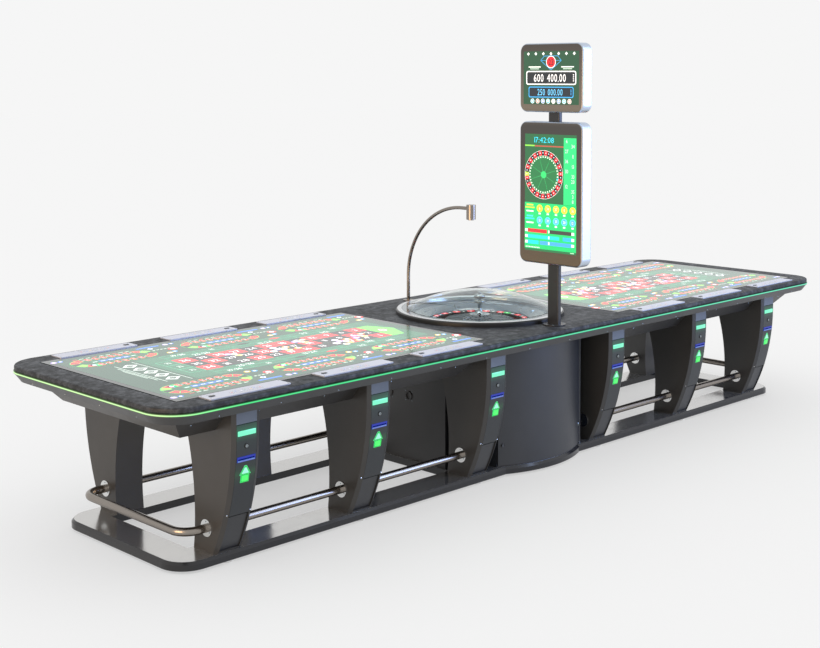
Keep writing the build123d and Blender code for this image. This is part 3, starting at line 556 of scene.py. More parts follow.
def sheet(work, us, vs, holes, place, thick, material=0):
    """Closed sheet on a grid of (u, v), thick along w, without the cells that lie in a hole."""
    def filled(i, j):
        if not (0 <= i < len(us) - 1 and 0 <= j < len(vs) - 1):
            return False
        u, v = (us[i] + us[i + 1]) / 2, (vs[j] + vs[j + 1]) / 2
        return not any(a < u < b and c < v < d for a, b, c, d in holes)

    layers = []
    for w in (0.0, -thick):
        layers.append([[work.verts.new(place(u, v, w)) for v in vs] for u in us])
    outer, inner = layers
    for i in range(len(us) - 1):
        for j in range(len(vs) - 1):
            if not filled(i, j):
                continue
            ring = ((i, j), (i + 1, j), (i + 1, j + 1), (i, j + 1))
            work.faces.new([outer[a][b] for a, b in ring]).material_index = material
            work.faces.new([inner[a][b] for a, b in ring[::-1]]).material_index = material
            sides = ((ring[0], ring[1], 0, -1), (ring[1], ring[2], 1, 0), (ring[2], ring[3], 0, 1),
                (ring[3], ring[0], -1, 0))
            for (a, b), (c, d), di, dj in sides:
                if not filled(i + di, j + dj):
                    face = work.faces.new((outer[a][b], inner[a][b], inner[c][d], outer[c][d]))
                    face.material_index = material
    loose = [v for v in work.verts if not v.link_faces]
    bmesh.ops.delete(work, geom=loose, context="VERTS")


print("shape helpers ready")

# %% [markdown]
# ## Geometry Nodes for what repeats
# Screws and vents repeat one small shape. Each is grown by a Geometry Nodes tree: points are laid
# out first, then the shape is placed on every point, and the result is made real and given its finish.

# %% A helper for Geometry Nodes trees
def new_tree(name, *sizes):
    """Geometry Nodes tree with float inputs of the given names and a geometry output."""
    tree = bpy.data.node_groups.new(name, "GeometryNodeTree")
    tree.interface.new_socket("Points", in_out="INPUT", socket_type="NodeSocketGeometry")
    for size in sizes:
        tree.interface.new_socket(size, in_out="INPUT", socket_type="NodeSocketFloat")
    tree.interface.new_socket("Geometry", in_out="OUTPUT", socket_type="NodeSocketGeometry")
    return tree, tree.nodes.new("NodeGroupInput").outputs


def grown(name, tree, spots, directions, sizes):
    """Plain mesh of a tree evaluated on points that each carry a direction."""
    seeds = bpy.data.meshes.new(name + "_points")
    seeds.from_pydata(spots, [], [])
    facing = seeds.attributes.new("facing", "FLOAT_VECTOR", "POINT")
    for k, direction in enumerate(directions):
        facing.data[k].vector = direction
    holder = bpy.data.objects.new(name + "_holder", seeds)
    bpy.context.scene.collection.objects.link(holder)
    modifier = holder.modifiers.new("grow", "NODES")
    modifier.node_group = tree
    for item in tree.interface.items_tree:
        if item.in_out == "INPUT" and item.name in sizes:
            modifier[item.identifier] = sizes[item.name]
    bpy.context.view_layer.update()
    graph = bpy.context.evaluated_depsgraph_get()
    mesh = bpy.data.meshes.new_from_object(holder.evaluated_get(graph))
    bpy.data.objects.remove(holder)
    return mesh


def screw_tree(finish):
    """Round-headed screws: a low cone with a sunk socket on every point, turned to its facing."""
    tree, given = new_tree("round_headed_screws", "Radius", "Height")
    head = add(tree, "GeometryNodeMeshCone",
        {"Vertices": 12, "Radius Top": given["Radius"], "Radius Bottom": given["Radius"],
        "Depth": given["Height"]})
    head.inputs["Side Segments"].default_value = 1
    top_radius = add(tree, "ShaderNodeMath", {0: given["Radius"], 1: 0.72}, operation="MULTIPLY").outputs[0]
    tree.links.new(top_radius, head.inputs["Radius Top"])
    sink = add(tree, "GeometryNodeExtrudeMesh",
        {"Mesh": head.outputs["Mesh"], "Selection": head.outputs["Top"], "Offset Scale": 0.0}, mode="FACES")
    narrow = add(tree, "GeometryNodeScaleElements",
        {"Geometry": sink.outputs["Mesh"], "Selection": sink.outputs["Top"], "Scale": 0.5}, domain="FACE")
    depth = add(tree, "ShaderNodeMath", {0: given["Height"], 1: -0.55}, operation="MULTIPLY").outputs[0]
    drop = add(tree, "ShaderNodeCombineXYZ", {"Z": depth})
    lower = add(tree, "GeometryNodeExtrudeMesh",
        {"Mesh": narrow.outputs[0], "Selection": sink.outputs["Top"], "Offset": drop.outputs[0],
        "Offset Scale": 1.0}, mode="FACES")
    facing = add(tree, "GeometryNodeInputNamedAttribute", {"Name": "facing"}, data_type="FLOAT_VECTOR")
    turn = add(tree, "FunctionNodeAlignRotationToVector", {"Vector": facing.outputs["Attribute"]}, axis="Z")
    inputs = {"Points": given["Points"], "Instance": lower.outputs["Mesh"], "Rotation": turn.outputs[0]}
    placed = add(tree, "GeometryNodeInstanceOnPoints", inputs)
    real = add(tree, "GeometryNodeRealizeInstances", {"Geometry": placed.outputs[0]})
    painted = add(tree, "GeometryNodeSetMaterial", {"Geometry": real.outputs[0], "Material": finish})
    tree.links.new(painted.outputs[0], tree.nodes.new("NodeGroupOutput").inputs[0])
    return tree


bright_screws = screw_tree(chrome)
print("screw tree:", len(bright_screws.nodes), "nodes")

# %% [markdown]
# ## The padded top
# The armrest is one cover of grained leatherette stretched over foam, cut out for the two displays and the wheel.
# A 2D curve with holes gives the outline, and its bevel rounds every edge the way stretched vinyl does.

# %% The padded top
def padded_top():
    """Cover with round edges, made from one filled outline with three openings."""
    low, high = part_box("armrest")
    glass_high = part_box("screen_glasses")[1]
    ease = 9 * MM
    curve = bpy.data.curves.new("armrest_outline", "CURVE")
    curve.dimensions = "2D"
    curve.fill_mode = "BOTH"
    thick = high.z - low.z
    curve.extrude = thick / 2 - ease
    curve.bevel_depth = ease
    curve.bevel_resolution = 3
    gap = 0.4 * MM
    inner = 565 * MM
    middle = (inner + glass_high.x) / 2
    half = (glass_high.x - inner) / 2 + gap + ease
    edge = 0.05 * MM
    outlines = [rounded(high.x - ease - edge, high.y - ease - edge, 156 * MM, steps=16)]
    for side in (1, -1):
        outlines.append(rounded(half, glass_high.y + gap + ease, ease, side * middle, 0.0, 3))
    outlines.append(circle(413 * MM + ease, steps=96))
    for outline in outlines:
        spline = curve.splines.new("POLY")
        spline.points.add(len(outline) - 1)
        for point, (x, y) in zip(spline.points, outline):
            point.co = (x, y, 0, 1)
        spline.use_cyclic_u = True
    holder = bpy.data.objects.new("armrest_outline", curve)
    bpy.context.scene.collection.objects.link(holder)
    bpy.context.view_layer.update()
    mesh = bpy.data.meshes.new_from_object(holder.evaluated_get(bpy.context.evaluated_depsgraph_get()))
    bpy.data.objects.remove(holder)
    mesh.transform(Matrix.Translation((0, 0, (low.z + high.z) / 2)))
    work = bmesh.new()
    work.from_mesh(mesh)
    return closed(work, 0.01 * MM)


armrest = settle("leatherette_armrest", padded_top(), "table", vinyl, ["armrest"], 50)
print("armrest faces:", len(armrest.data.polygons))

# %% [markdown]
# ## Pedestal doors
# Each pedestal has a drop-down door with a lit bar, a lock, a glowing note slot and an arrow. The door is
# 6 mm sheet that follows the curve of the front. All twelve are the same, so one function builds a door's
# pieces at its place, turned half round for the rear row. Every piece rides on its own door.

# %% Door finish
def door_coat():
    """Dark satin coat with painted glow: its emission paints green light from the bar and arrow and blue light
    from the slot onto the coat near them.
    """
    material, tree, shader, place = finish_of("dark_satin_door_coat", Roughness=0.36)
    shader.inputs["Base Color"].default_value = linear("#1d2124")
    across = add(tree, "ShaderNodeUVMap", uv_map="height")
    level = add(tree, "ShaderNodeSeparateXYZ", {"Vector": across.outputs[0]})
    # Painted glow by height up the door: green round the arrow and under and over the bar, blue round the slot,
    # and none elsewhere.
    stops = (
        (0.0, "#000000"), (0.34, "#000000"), (0.42, "#04200c"), (0.47, "#083c16"), (0.53, "#031a0a"),
        (0.6, "#01040c"), (0.645, "#02061e"), (0.7, "#020506"), (0.82, "#021408"), (0.9, "#0b4a2c"),
        (0.945, "#0c5030"), (1.0, "#052c1a"),
    )
    tree.links.new(ramp(tree, level.outputs["Y"], *stops), shader.inputs["Emission Color"])
    shader.inputs["Emission Strength"].default_value = 1.0
    tree.links.new(spread(tree, noise(tree, place, 50 * MM), 0.3, 0.42), shader.inputs["Roughness"])
    bump(tree, shader, noise(tree, place, 2.5 * MM), 0.02 * MM)
    return material


painted_glow_door_coat = door_coat()
print("door finish ready")

# %% One door's pieces
DOOR_LOW, DOOR_HIGH = 228 * MM, 633 * MM
DOOR_HALF = 54 * MM
FACE_R, FACE_Y, FACE_Z = 1195.6 * MM, 605.6 * MM, 600 * MM
SLOT_Z, LOCK_Z, BAR_Z, ARROW_Z = 483 * MM, 538 * MM, 596 * MM, 414 * MM


def on_door(middle, row):
    """Function that carries (across, height, out) to the curved front of one door, as its owner sees it."""
    sign = 1.0 if row == FRONT else -1.0

    def place(u, v, w):
        sag = max(FACE_Z - v, 0.0)
        reach = math.sqrt(FACE_R**2 - sag**2)
        y = FACE_Y - reach - w * reach / FACE_R
        return Vector((middle + sign * u, sign * y, v - w * sag / FACE_R))

    return place


def standing(place, u, v):
    """Matrix that stands a shape on a surface, its own Z pointing out."""
    spot, step = place(u, v, 0), 1 * MM
    across = (place(u + step, v, 0) - spot).normalized()
    out = (place(u, v, step) - spot).normalized()
    frame_axes = Matrix((across, out.cross(across), out)).transposed()
    return Matrix.Translation(spot) @ frame_axes.to_4x4()


print("door face at its top:", [round(c, 4) for c in on_door(0.0, FRONT)(0, DOOR_HIGH, 0)])

# %% Door leaves
def span(low, high, count):
    """Evenly spaced numbers from low to high."""
    return [low + (high - low) * k / count for k in range(count + 1)]


def door_leaf(place):
    """Curved sheet with its note slot cut through and a knuckle along its foot."""
    work = bmesh.new()
    half, thick = DOOR_HALF, 6 * MM
    slot_half, slot_high = 43.5 * MM, 3 * MM
    heights = sorted(span(DOOR_LOW, DOOR_HIGH, 36) + [SLOT_Z - slot_high, SLOT_Z + slot_high])
    across = [-half, -half + 1 * MM, -slot_half, 0.0, slot_half, half - 1 * MM, half]
    sheet(work, across, heights, [(-slot_half, slot_half, SLOT_Z - slot_high, SLOT_Z + slot_high)], place,
        thick)
    knuckle = circle(6 * MM, steps=16)
    hinge = Matrix.Translation(place(0, 234 * MM, -6 * MM)) @ Matrix.Rotation(math.pi / 2, 4, "Y")
    slab(work, knuckle, -half + 0.5 * MM, half - 0.5 * MM, 0.0, hinge)
    mesh = closed(work)
    layer = mesh.uv_layers.new(name="height")
    for loop in mesh.loops:
        z = mesh.vertices[loop.vertex_index].co.z
        layer.data[loop.index].uv = (0.5, (z - DOOR_LOW) / (DOOR_HIGH - DOOR_LOW))
    return mesh


seats = {}
for number in range(1, 13):
    low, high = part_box(f"pedestal_door_{number:02d}")
    row = FRONT if low.y < 0 else REAR
    seats[number] = on_door((low.x + high.x) / 2, row)
    node = f"pedestal_door_{number:02d}"
    settle(f"door_leaf_{number:02d}", door_leaf(seats[number]), node, painted_glow_door_coat, [node])
print("door leaves:", len(seats))

# %% [markdown]
# The lights of a door are small moulded windows: a mint bar at the top, a blue throat round the note slot with
# a paler lip under it, and an arrow that points up to it. The lock is a black ring with a chrome barrel.

# %% Door lights and locks
def door_lights(place):
    """Bar, slot throat, lip and arrow of one door."""
    work = bmesh.new()

    def window(outline, low, high, v, material, ease=0.6 * MM):
        slab(work, outline, low, high, ease, lambda a, b, c: place(a, v + b, c), material)

    window(rounded(48 * MM, 11 * MM, 2 * MM), -1 * MM, 1.3 * MM, BAR_Z, 0)
    throat = [-48.5 * MM, -43.6 * MM, 43.6 * MM, 48.5 * MM]
    rows = [SLOT_Z - 11.5 * MM, SLOT_Z - 3.1 * MM, SLOT_Z + 3.1 * MM, SLOT_Z + 11.5 * MM]
    hole = [(throat[1], throat[2], rows[1], rows[2])]
    sheet(work, throat, rows, hole, lambda u, v, w: place(u, v, w + 2 * MM), 14 * MM, 1)
    window(rounded(45 * MM, 2.6 * MM, 1 * MM), 1.8 * MM, 3.4 * MM, SLOT_Z - 7.6 * MM, 2, 0.5 * MM)
    roof = [(-30.5, -2), (30.5, -2), (6, 38), (-6, 38)]
    window([(u * MM, v * MM) for u, v in roof], -1 * MM, 0.9 * MM, ARROW_Z, 3)
    window([(u * 0.66 * MM, (4 + v * 0.66) * MM) for u, v in roof], 0.5 * MM, 1.5 * MM, ARROW_Z, 4,
        0.3 * MM)
    window(rounded(23 * MM, 17 * MM, 2 * MM), -1 * MM, 0.8 * MM, ARROW_Z - 20 * MM, 3)
    window(rounded(15 * MM, 11 * MM, 2 * MM), 0.5 * MM, 1.1 * MM, ARROW_Z - 19 * MM, 5, 0.3 * MM)
    return closed(work)


def door_lock(place):
    """Black ring, chrome barrel, and a black sliver of painted shade where the key slit would be dark inside."""
    work = bmesh.new()
    turned(work, [(0, -2), (12, -2), (12, 2), (11, 3), (8.2, 3), (8.2, 1.5), (0, 1.5)], 28)
    bmesh.ops.scale(work, vec=(MM, MM, MM), verts=work.verts)
    barrel = bmesh.new()
    turned(barrel, [(0, 1.5), (7.6, 1.5), (7.6, 2.6), (6.9, 3.4), (0, 3.4)], 28, material=1)
    bmesh.ops.scale(barrel, vec=(MM, MM, MM), verts=barrel.verts)
    # Painted shade: the key slit is not cut. A thin black sliver on the barrel stands for its dark inside.
    slab(barrel, rounded(0.9 * MM, 4.2 * MM, 0.4 * MM, steps=2), 3.3 * MM, 3.6 * MM, material=0)
    joined = bpy.data.meshes.new("barrel")
    barrel.to_mesh(joined)
    barrel.free()
    work.from_mesh(joined)
    bmesh.ops.transform(work, matrix=standing(place, 0.0, LOCK_Z), verts=work.verts)
    return closed(work)


bright_green = glow("bright_arrow_core", "#3cff5a", 1.6)
light_finishes = [mint_light, blue_light, lavender_light, green_light, pale_light, bright_green]
for number, place in seats.items():
    body = f"pedestal_door_{number:02d}"
    settle(f"door_lights_{number:02d}", door_lights(place), body, light_finishes)
    settle(f"door_lock_{number:02d}", door_lock(place), body, [black_abs, chrome])
print("door lights and locks:", 2 * len(seats))

# %% [markdown]
# ## The wheel
# The wheel sits in a dark skirt under a satin ring. The bowl is one turned piece, so it is a profile spun round
# its axis: bright lip, ball track, and a polished slope down to the rotor. The rotor carries a ring of numbers and
# the pockets round a low cone with radial inlays. The cone is nearly matt, so it stays dark in the bright room.
# Each corner of a profile is a radius, a height and the index of its finish.

# %% Wheel finishes
WHEEL_SEGMENTS = 128
POCKETS = 37
CONE_GLOSS = 0.12


def bowl_lacquer():
    """Polished slate lacquer: two close tones under a deep gloss."""
    material, tree, shader, place = finish_of("polished_slate_bowl", Roughness=0.12)
    shader.inputs["Coat Weight"].default_value = 0.7
    shader.inputs["Coat Roughness"].default_value = 0.03
    tone = noise(tree, place, 90 * MM, 3)
    tree.links.new(ramp(tree, tone, (0.3, "#424e59"), (0.7, "#4e5b68")), shader.inputs["Base Color"])
    return material


bowl_coat = bowl_lacquer()
cone_coat = moulded("slate_cone_lacquer", "#2b3339", 0.4)
cone_coat.node_tree.nodes["Principled BSDF"].inputs["Specular IOR Level"].default_value = CONE_GLOSS
black_enamel = moulded("black_enamel", "#101112", 0.25)
print("wheel finishes ready")

# %% Ring, bowl and rotor
def lathed(profile, count):
    """Mesh turned from (radius, height, finish index) corners in millimetres about the wheel's axis."""
    work = bmesh.new()
    points = [(r * MM, z * MM) for r, z, _ in profile]
    turned(work, points, count)
    faces = list(work.faces)
    size = len(profile)
    order = [k for k in range(size) if max(points[k][0], points[(k + 1) % size][0]) > 1e-9]
    for k, face in enumerate(faces):
        face.material_index = profile[order[k % len(order)]][2]
    return closed(work)


skirt = [
    (472.9, 776.6, 0), (472.9, 795, 0), (470, 799, 0), (466, 802, 1), (460, 803, 1), (441.3, 803, 1),
    (441.3, 776.6, 0),
]
ring_mesh = lathed(skirt, WHEEL_SEGMENTS)
settle("wheel_skirt_ring", ring_mesh, "table", [skirt_rubber, silver], ["wheel_ring"])
rim = [
    (441, 797, 0), (441, 801.5, 0), (439.5, 803, 0), (405, 803, 0), (403, 801.5, 0), (400, 786, 1),
    (391, 774, 1),
]
slope = [
    (376, 771.5, 1), (368, 771, 1), (350, 765.5, 1), (320, 754, 1), (288, 744, 1), (284.5, 741, 1),
    (284, 700, 1),
]
under = [
    (31, 700, 1), (31, 692, 1), (292, 692, 1), (302, 737, 1), (384, 764, 1), (408, 777, 1),
    (409.5, 796, 1),
]
bowl_mesh = lathed(rim + slope + under, WHEEL_SEGMENTS)
settle("wheel_bowl_turned", bowl_mesh, "table", [chrome, bowl_coat], ["wheel_bowl"])
rotor = [
    (277, 712, 1), (278, 738.5, 1), (276.5, 740, 1), (247.5, 737.5, 1), (246, 736.5, 1), (246, 722, 1),
    (197, 722, 1), (197, 737, 1), (195, 738.5, 0), (150, 744.5, 0), (105, 752.5, 0), (62, 763.2, 0),
    (58, 763.9, 0), (13, 763.9, 0), (13, 708, 1), (180, 706, 1),
]
head_mesh = lathed(rotor, 4 * POCKETS)
settle("wheel_rotor", head_mesh, "wheel_head", [cone_coat, black_enamel], ["rotor_head"])
print("wheel turned")

# %% [markdown]
# The dome is a cap of a large sphere, 3 mm thick, blown from clear sheet. Both of its skins are turned from
# arcs about one centre, so that it bends what lies behind it only a little.

# %% Clear dome
def dome_profile(thick, steps):
    """Corners of the cap: outer arc from the rim to the crown, then the inner arc back."""
    low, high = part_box("glass_dome")
    rim, rise = high.x, high.z - low.z
    ball = (rim**2 + rise**2) / (2 * rise)
    middle = high.z - ball
    widest = math.asin(rim / ball)
    outer = [(ball * math.sin(a), middle + ball * math.cos(a)) for a in span(widest, 0.0, steps)]
    inner = [((ball - thick) * math.sin(a), middle + (ball - thick) * math.cos(a))
        for a in span(0.0, widest, steps)]
    return outer + inner


dome = bmesh.new()
turned(dome, dome_profile(3 * MM, 20), WHEEL_SEGMENTS)
settle("clear_wheel_dome", closed(dome), "dome", acrylic, ["glass_dome"], 60)
print("dome turned")

# %% [markdown]
# ## Picture elements
# A display's picture is made of thin coloured shapes: bars, discs, rings and numbers. They lie a tenth of a
# millimetre above the glass, each a closed sliver, and one attribute carries their colours to one lit finish.
# Real screens glow from behind, so the finish emits the colour it shows.

# %% Picture elements
def poly(art, points, code, layer=0):
    """Filled outline."""
    turn = sum(a[0] * b[1] - b[0] * a[1] for a, b in zip(points, points[1:] + points[:1]))
    points = list(points) if turn > 0 else list(points)[::-1]
    art.append((points, [list(range(len(points)))], code, layer))


def bar(art, u, v, wide, high, code, layer=0):
    """Filled rectangle about (u, v)."""
    a, b = wide / 2, high / 2
    poly(art, [(u - a, v - b), (u + a, v - b), (u + a, v + b), (u - a, v + b)], code, layer)


def disc(art, u, v, radius, code, layer=0, steps=16):
    """Filled circle."""
    poly(art, circle(radius, u, v, steps), code, layer)


def arc_cell(art, u, v, inner, outer, start, stop, code, layer=0, steps=1):
    """Part of a ring between two angles."""
    angles = span(start, stop, steps)
    rim = [(u + outer * math.cos(t), v + outer * math.sin(t)) for t in angles]
    poly(art, rim + [(u + inner * math.cos(t), v + inner * math.sin(t)) for t in angles[::-1]], code, layer)


def frame_box(art, u, v, wide, high, edge, code, layer=0):
    """Rectangular frame of four bars."""
    for s in (1, -1):
        bar(art, u, v + s * (high - edge) / 2, wide, edge, code, layer)
        bar(art, u + s * (wide - edge) / 2, v, edge, high - 2 * edge, code, layer)


def glyph(sign):
    """Flat shape of one digit, one unit high: its points, its faces and its width."""
    text = bpy.data.curves.new("digit", "FONT")
    text.body = sign
    text.resolution_u = 2
    holder = bpy.data.objects.new("digit", text)
    bpy.context.scene.collection.objects.link(holder)
    bpy.context.view_layer.update()
    work = bmesh.new()
    graph = bpy.context.evaluated_depsgraph_get()
    work.from_mesh(bpy.data.meshes.new_from_object(holder.evaluated_get(graph)))
    bpy.data.objects.remove(holder)
    bmesh.ops.remove_doubles(work, verts=work.verts, dist=1e-4)
    points = [(v.co.x, v.co.y) for v in work.verts]
    loops = []
    for face in work.faces:
        loop = [v.index for v in face.verts]
        loops.append(loop if face.normal.z > 0 else loop[::-1])
    work.free()
    tall = 0.7
    low = min((p[0] for p in points), default=0.0)
    wide = max((p[0] for p in points), default=0.3) - low
    return [((x - low) / tall, y / tall) for x, y in points], loops, wide / tall


glyphs = {sign: glyph(sign) for sign in "0123456789.:-"}


def number(art, text, u, v, high, code, layer=1, squeeze=1.0, turn=0.0):
    """Row of digits centred on (u, v), turned by an angle."""
    gap = 0.12 * high
    widths = [0.35 * high if c == " " else glyphs[c][2] * high * squeeze for c in text]
    at = -(sum(widths) + gap * (len(text) - 1)) / 2
    c, s = math.cos(turn), math.sin(turn)
    for sign, wide in zip(text, widths):
        if sign != " ":
            points, loops, _ = glyphs[sign]
            flat = [(at + x * high * squeeze, (y - 0.5) * high) for x, y in points]
            art.append(([(u + x * c - y * s, v + x * s + y * c) for x, y in flat], loops, code, layer))
        at += wide + gap


def printed(name, art, place, body="table", step=0.12 * MM):
    """One piece from a list of coloured shapes, laid on a surface."""
    verts, faces, tones = [], [], []
    for points, loops, code, layer in art:
        base, count = len(verts), len(points)
        for level in (layer, layer + 1):
            verts.extend(place(u, v, level * step) for u, v in points)
        edges = {(a, b) for loop in loops for a, b in zip(loop, loop[1:] + loop[:1])}
        made = [[base + count + k for k in loop] for loop in loops]
        made += [[base + k for k in reversed(loop)] for loop in loops]
        made += [(base + a, base + b, base + count + b, base + count + a) for a, b in sorted(edges)
            if (b, a) not in edges]
        faces.extend(made)
        tones.extend([linear(code)] * len(made))
    mesh = bpy.data.meshes.new(name)
    mesh.from_pydata(verts, [], faces)
    layer = mesh.color_attributes.new("ink", "FLOAT_COLOR", "CORNER")
    for face, tone in zip(mesh.polygons, tones):
        for k in face.loop_indices:
            layer.data[k].color = tone
    piece = settle(name, mesh, body, ink, crease=20)
    print(name, "faces:", len(faces))
    return piece


RED, BLACK, GREEN = "#e0222c", "#101214", "#25c24a"
ORDER = [0, 32, 15, 19, 4, 21, 2, 25, 17, 34, 6, 27, 13, 36, 11, 30, 8, 23, 10,
         5, 24, 16, 33, 1, 20, 14, 31, 9, 22, 18, 29, 7, 28, 12, 35, 3, 26]
REDS = {1, 3, 5, 7, 9, 12, 14, 16, 18, 19, 21, 23, 25, 27, 30, 32, 34, 36}


def tone_of(value):
    """Colour of a number on the wheel and on the layout."""
    return GREEN if value == 0 else RED if value in REDS else BLACK


print("digits:", len(glyphs))

# %% [markdown]
# ## Numbers and pockets on the wheel
# The rotor's numbers run in the single-zero order. Each pocket floor is a coloured enamel tile, and each number
# sits on a tile of the same colour on the rim above it.

# %% Wheel tiles
def wheel_tiles(body):
    """Coloured tiles of the number ring and the pocket floors, with white digits."""
    art = []
    slice_of = 2 * math.pi / len(ORDER)
    for k, value in enumerate(ORDER):
        start, stop = k * slice_of + 0.006, (k + 1) * slice_of - 0.006
        arc_cell(art, 0, 0, 250 * MM, 275 * MM, start, stop, tone_of(value), 0, 2)
        middle = (start + stop) / 2
        spot = (262.5 * MM * math.cos(middle), 262.5 * MM * math.sin(middle))
        number(art, str(value), *spot, 15 * MM, "#f6f6f2", 1, 0.9, middle - math.pi / 2)

    def on_ring(u, v, w):
        reach = math.hypot(u, v)
        return (u, v, (737.65 + (reach / MM - 247.5) * 2.5 / 29) * MM + w)

    printed("wheel_number_ring", art, on_ring, body, 0.3 * MM)
    floors = []
    for k, value in enumerate(ORDER):
        start, stop = k * slice_of + 0.008, (k + 1) * slice_of - 0.008
        arc_cell(floors, 0, 0, 198 * MM, 245 * MM, start, stop, tone_of(value), 0, 2)
    printed("wheel_pocket_floors", floors, lambda u, v, w: (u, v, 722.1 * MM + w), body, 0.3 * MM)


wheel_tiles("wheel_head")
inlay = bmesh.new()
for k in range(8):
    turn = Matrix.Rotation(2 * math.pi * k / 8, 4, "Z")
    strip = [(62, -1.6), (194, -2.6), (194, 2.6), (62, 1.6)]

    def on_cone(u, v, w, turn=turn):
        return turn @ Vector((u, v, (763.4 - (u / MM - 62) * 24.8 / 133) * MM + w))

    slab(inlay, [(u * MM, v * MM) for u, v in strip], -0.5 * MM, 1.0 * MM, 0.3 * MM, on_cone)
settle("wheel_cone_inlays", closed(inlay), "wheel_head", chrome)
print("wheel dressed")

# %% [markdown]
# ## The two table displays
# Each half shows one betting layout: a number grid in the middle with its zero towards the wheel, a strip of
# outside bets along each side, and a small racetrack of the wheel's order in front of every player. The other
# half shows the same picture turned half round.

# %% One player's racetrack
def racetrack(art, middle, row):
    """Oval of the wheel's numbers in front of one player, with its small tokens."""
    sign = 1.0 if row == FRONT else -1.0

    def at(u, v):
        return middle + u, -sign * (0.5 - v)

    def patch(points, code, layer):
        poly(art, [at(u, v) for u, v in points], code, layer)

    def oval(half, radius, code, layer):
        ends = []
        for s in (1, -1):
            ends += [(-0.035 + s * (half + radius * math.cos(t)), 0.135 + s * radius * math.sin(t))
                for t in span(-math.pi / 2, math.pi / 2, 8)]
        patch(ends, code, layer)

    half, outer, inner = 0.14, 0.088, 0.042
    oval(half, outer, "#48b45a", 1)
    count = 13
    wide = 2 * half / count
    k = 0
    for side in (1, -1):
        for j in range(count):
            u = -0.035 + side * (-half + wide * (j + 0.5))
            value = ORDER[k % POCKETS]
            low, high = sorted((0.135 + side * inner, 0.135 + side * (outer - 0.003)))
            edge = wide / 2 - 0.0012
            patch([(u - edge, low), (u + edge, low), (u + edge, high), (u - edge, high)], tone_of(value), 2)
            spot = at(u, (low + high) / 2)
            number(art, str(value), *spot, 0.014, "#f2f2f2", 3, 0.8, 0.0 if row == FRONT else math.pi)
            k += 1
        for j in range(5):
            start = -math.pi / 2 + math.pi * (j + 0.06) / 5
            stop = -math.pi / 2 + math.pi * (j + 0.94) / 5
            rim = [(r, t) for r, ts in ((outer - 0.003, (start, stop)), (inner, (stop, start))) for t in ts]
            code = [RED, "#8fe84a", BLACK, RED, RED][j]
            points = [(-0.035 + side * (half + r * math.cos(t)), 0.135 + side * r * math.sin(t))
                for r, t in rim]
            patch(points, code, 2)
            k += 1
    oval(half, inner - 0.004, "#174c34", 2)
    for j in range(6):
        u = -0.035 + (j - 2.5) * 0.042
        block = [(u - 0.018, 0.118), (u + 0.018, 0.118), (u + 0.018, 0.152), (u - 0.018, 0.152)]
        patch(block, "#2f6cc8" if 0 < j < 5 else "#1f7a4a", 3)
        line = [(u - 0.012, 0.132), (u + 0.012, 0.132), (u + 0.012, 0.139), (u - 0.012, 0.139)]
        patch(line, "#e4eef6", 4)
    tokens = (
        (-0.29, 0.02, 0.016, "#b8a0e8"), (-0.255, 0.02, 0.013, "#4878e0"), (-0.18, 0.193, 0.02, "#58cdf0"),
        (0.30, 0.129, 0.026, RED), (0.235, 0.2, 0.016, "#f0c838"), (0.27, 0.19, 0.014, "#48a8f0"),
        (0.215, 0.06, 0.014, "#f4f4f4"),
    )
    for u, v, radius, code in tokens:
        disc(art, *at(u, v), radius, code, 2, 12)
        disc(art, *at(u, v), radius * 0.55, "#f2f2f2" if code != "#f4f4f4" else "#5078d0", 3, 10)
    patch([(0.16, 0.012), (0.29, 0.012), (0.29, 0.03), (0.16, 0.03)], "#2f74d8", 2)
    for j in range(9):
        u = -0.2 + 0.036 * j
        dash = [(u, 0.03), (u + 0.024, 0.03), (u + 0.024, 0.036), (u, 0.036)]
        patch(dash, "#d8ecd8" if j % 3 else "#e05058", 2)
    for j in range(5):
        u = 0.2 + 0.022 * j
        patch([(u, 0.1), (u + 0.014, 0.1), (u + 0.014, 0.108), (u, 0.108)], "#d8ecd8", 2)


print("racetrack ready")

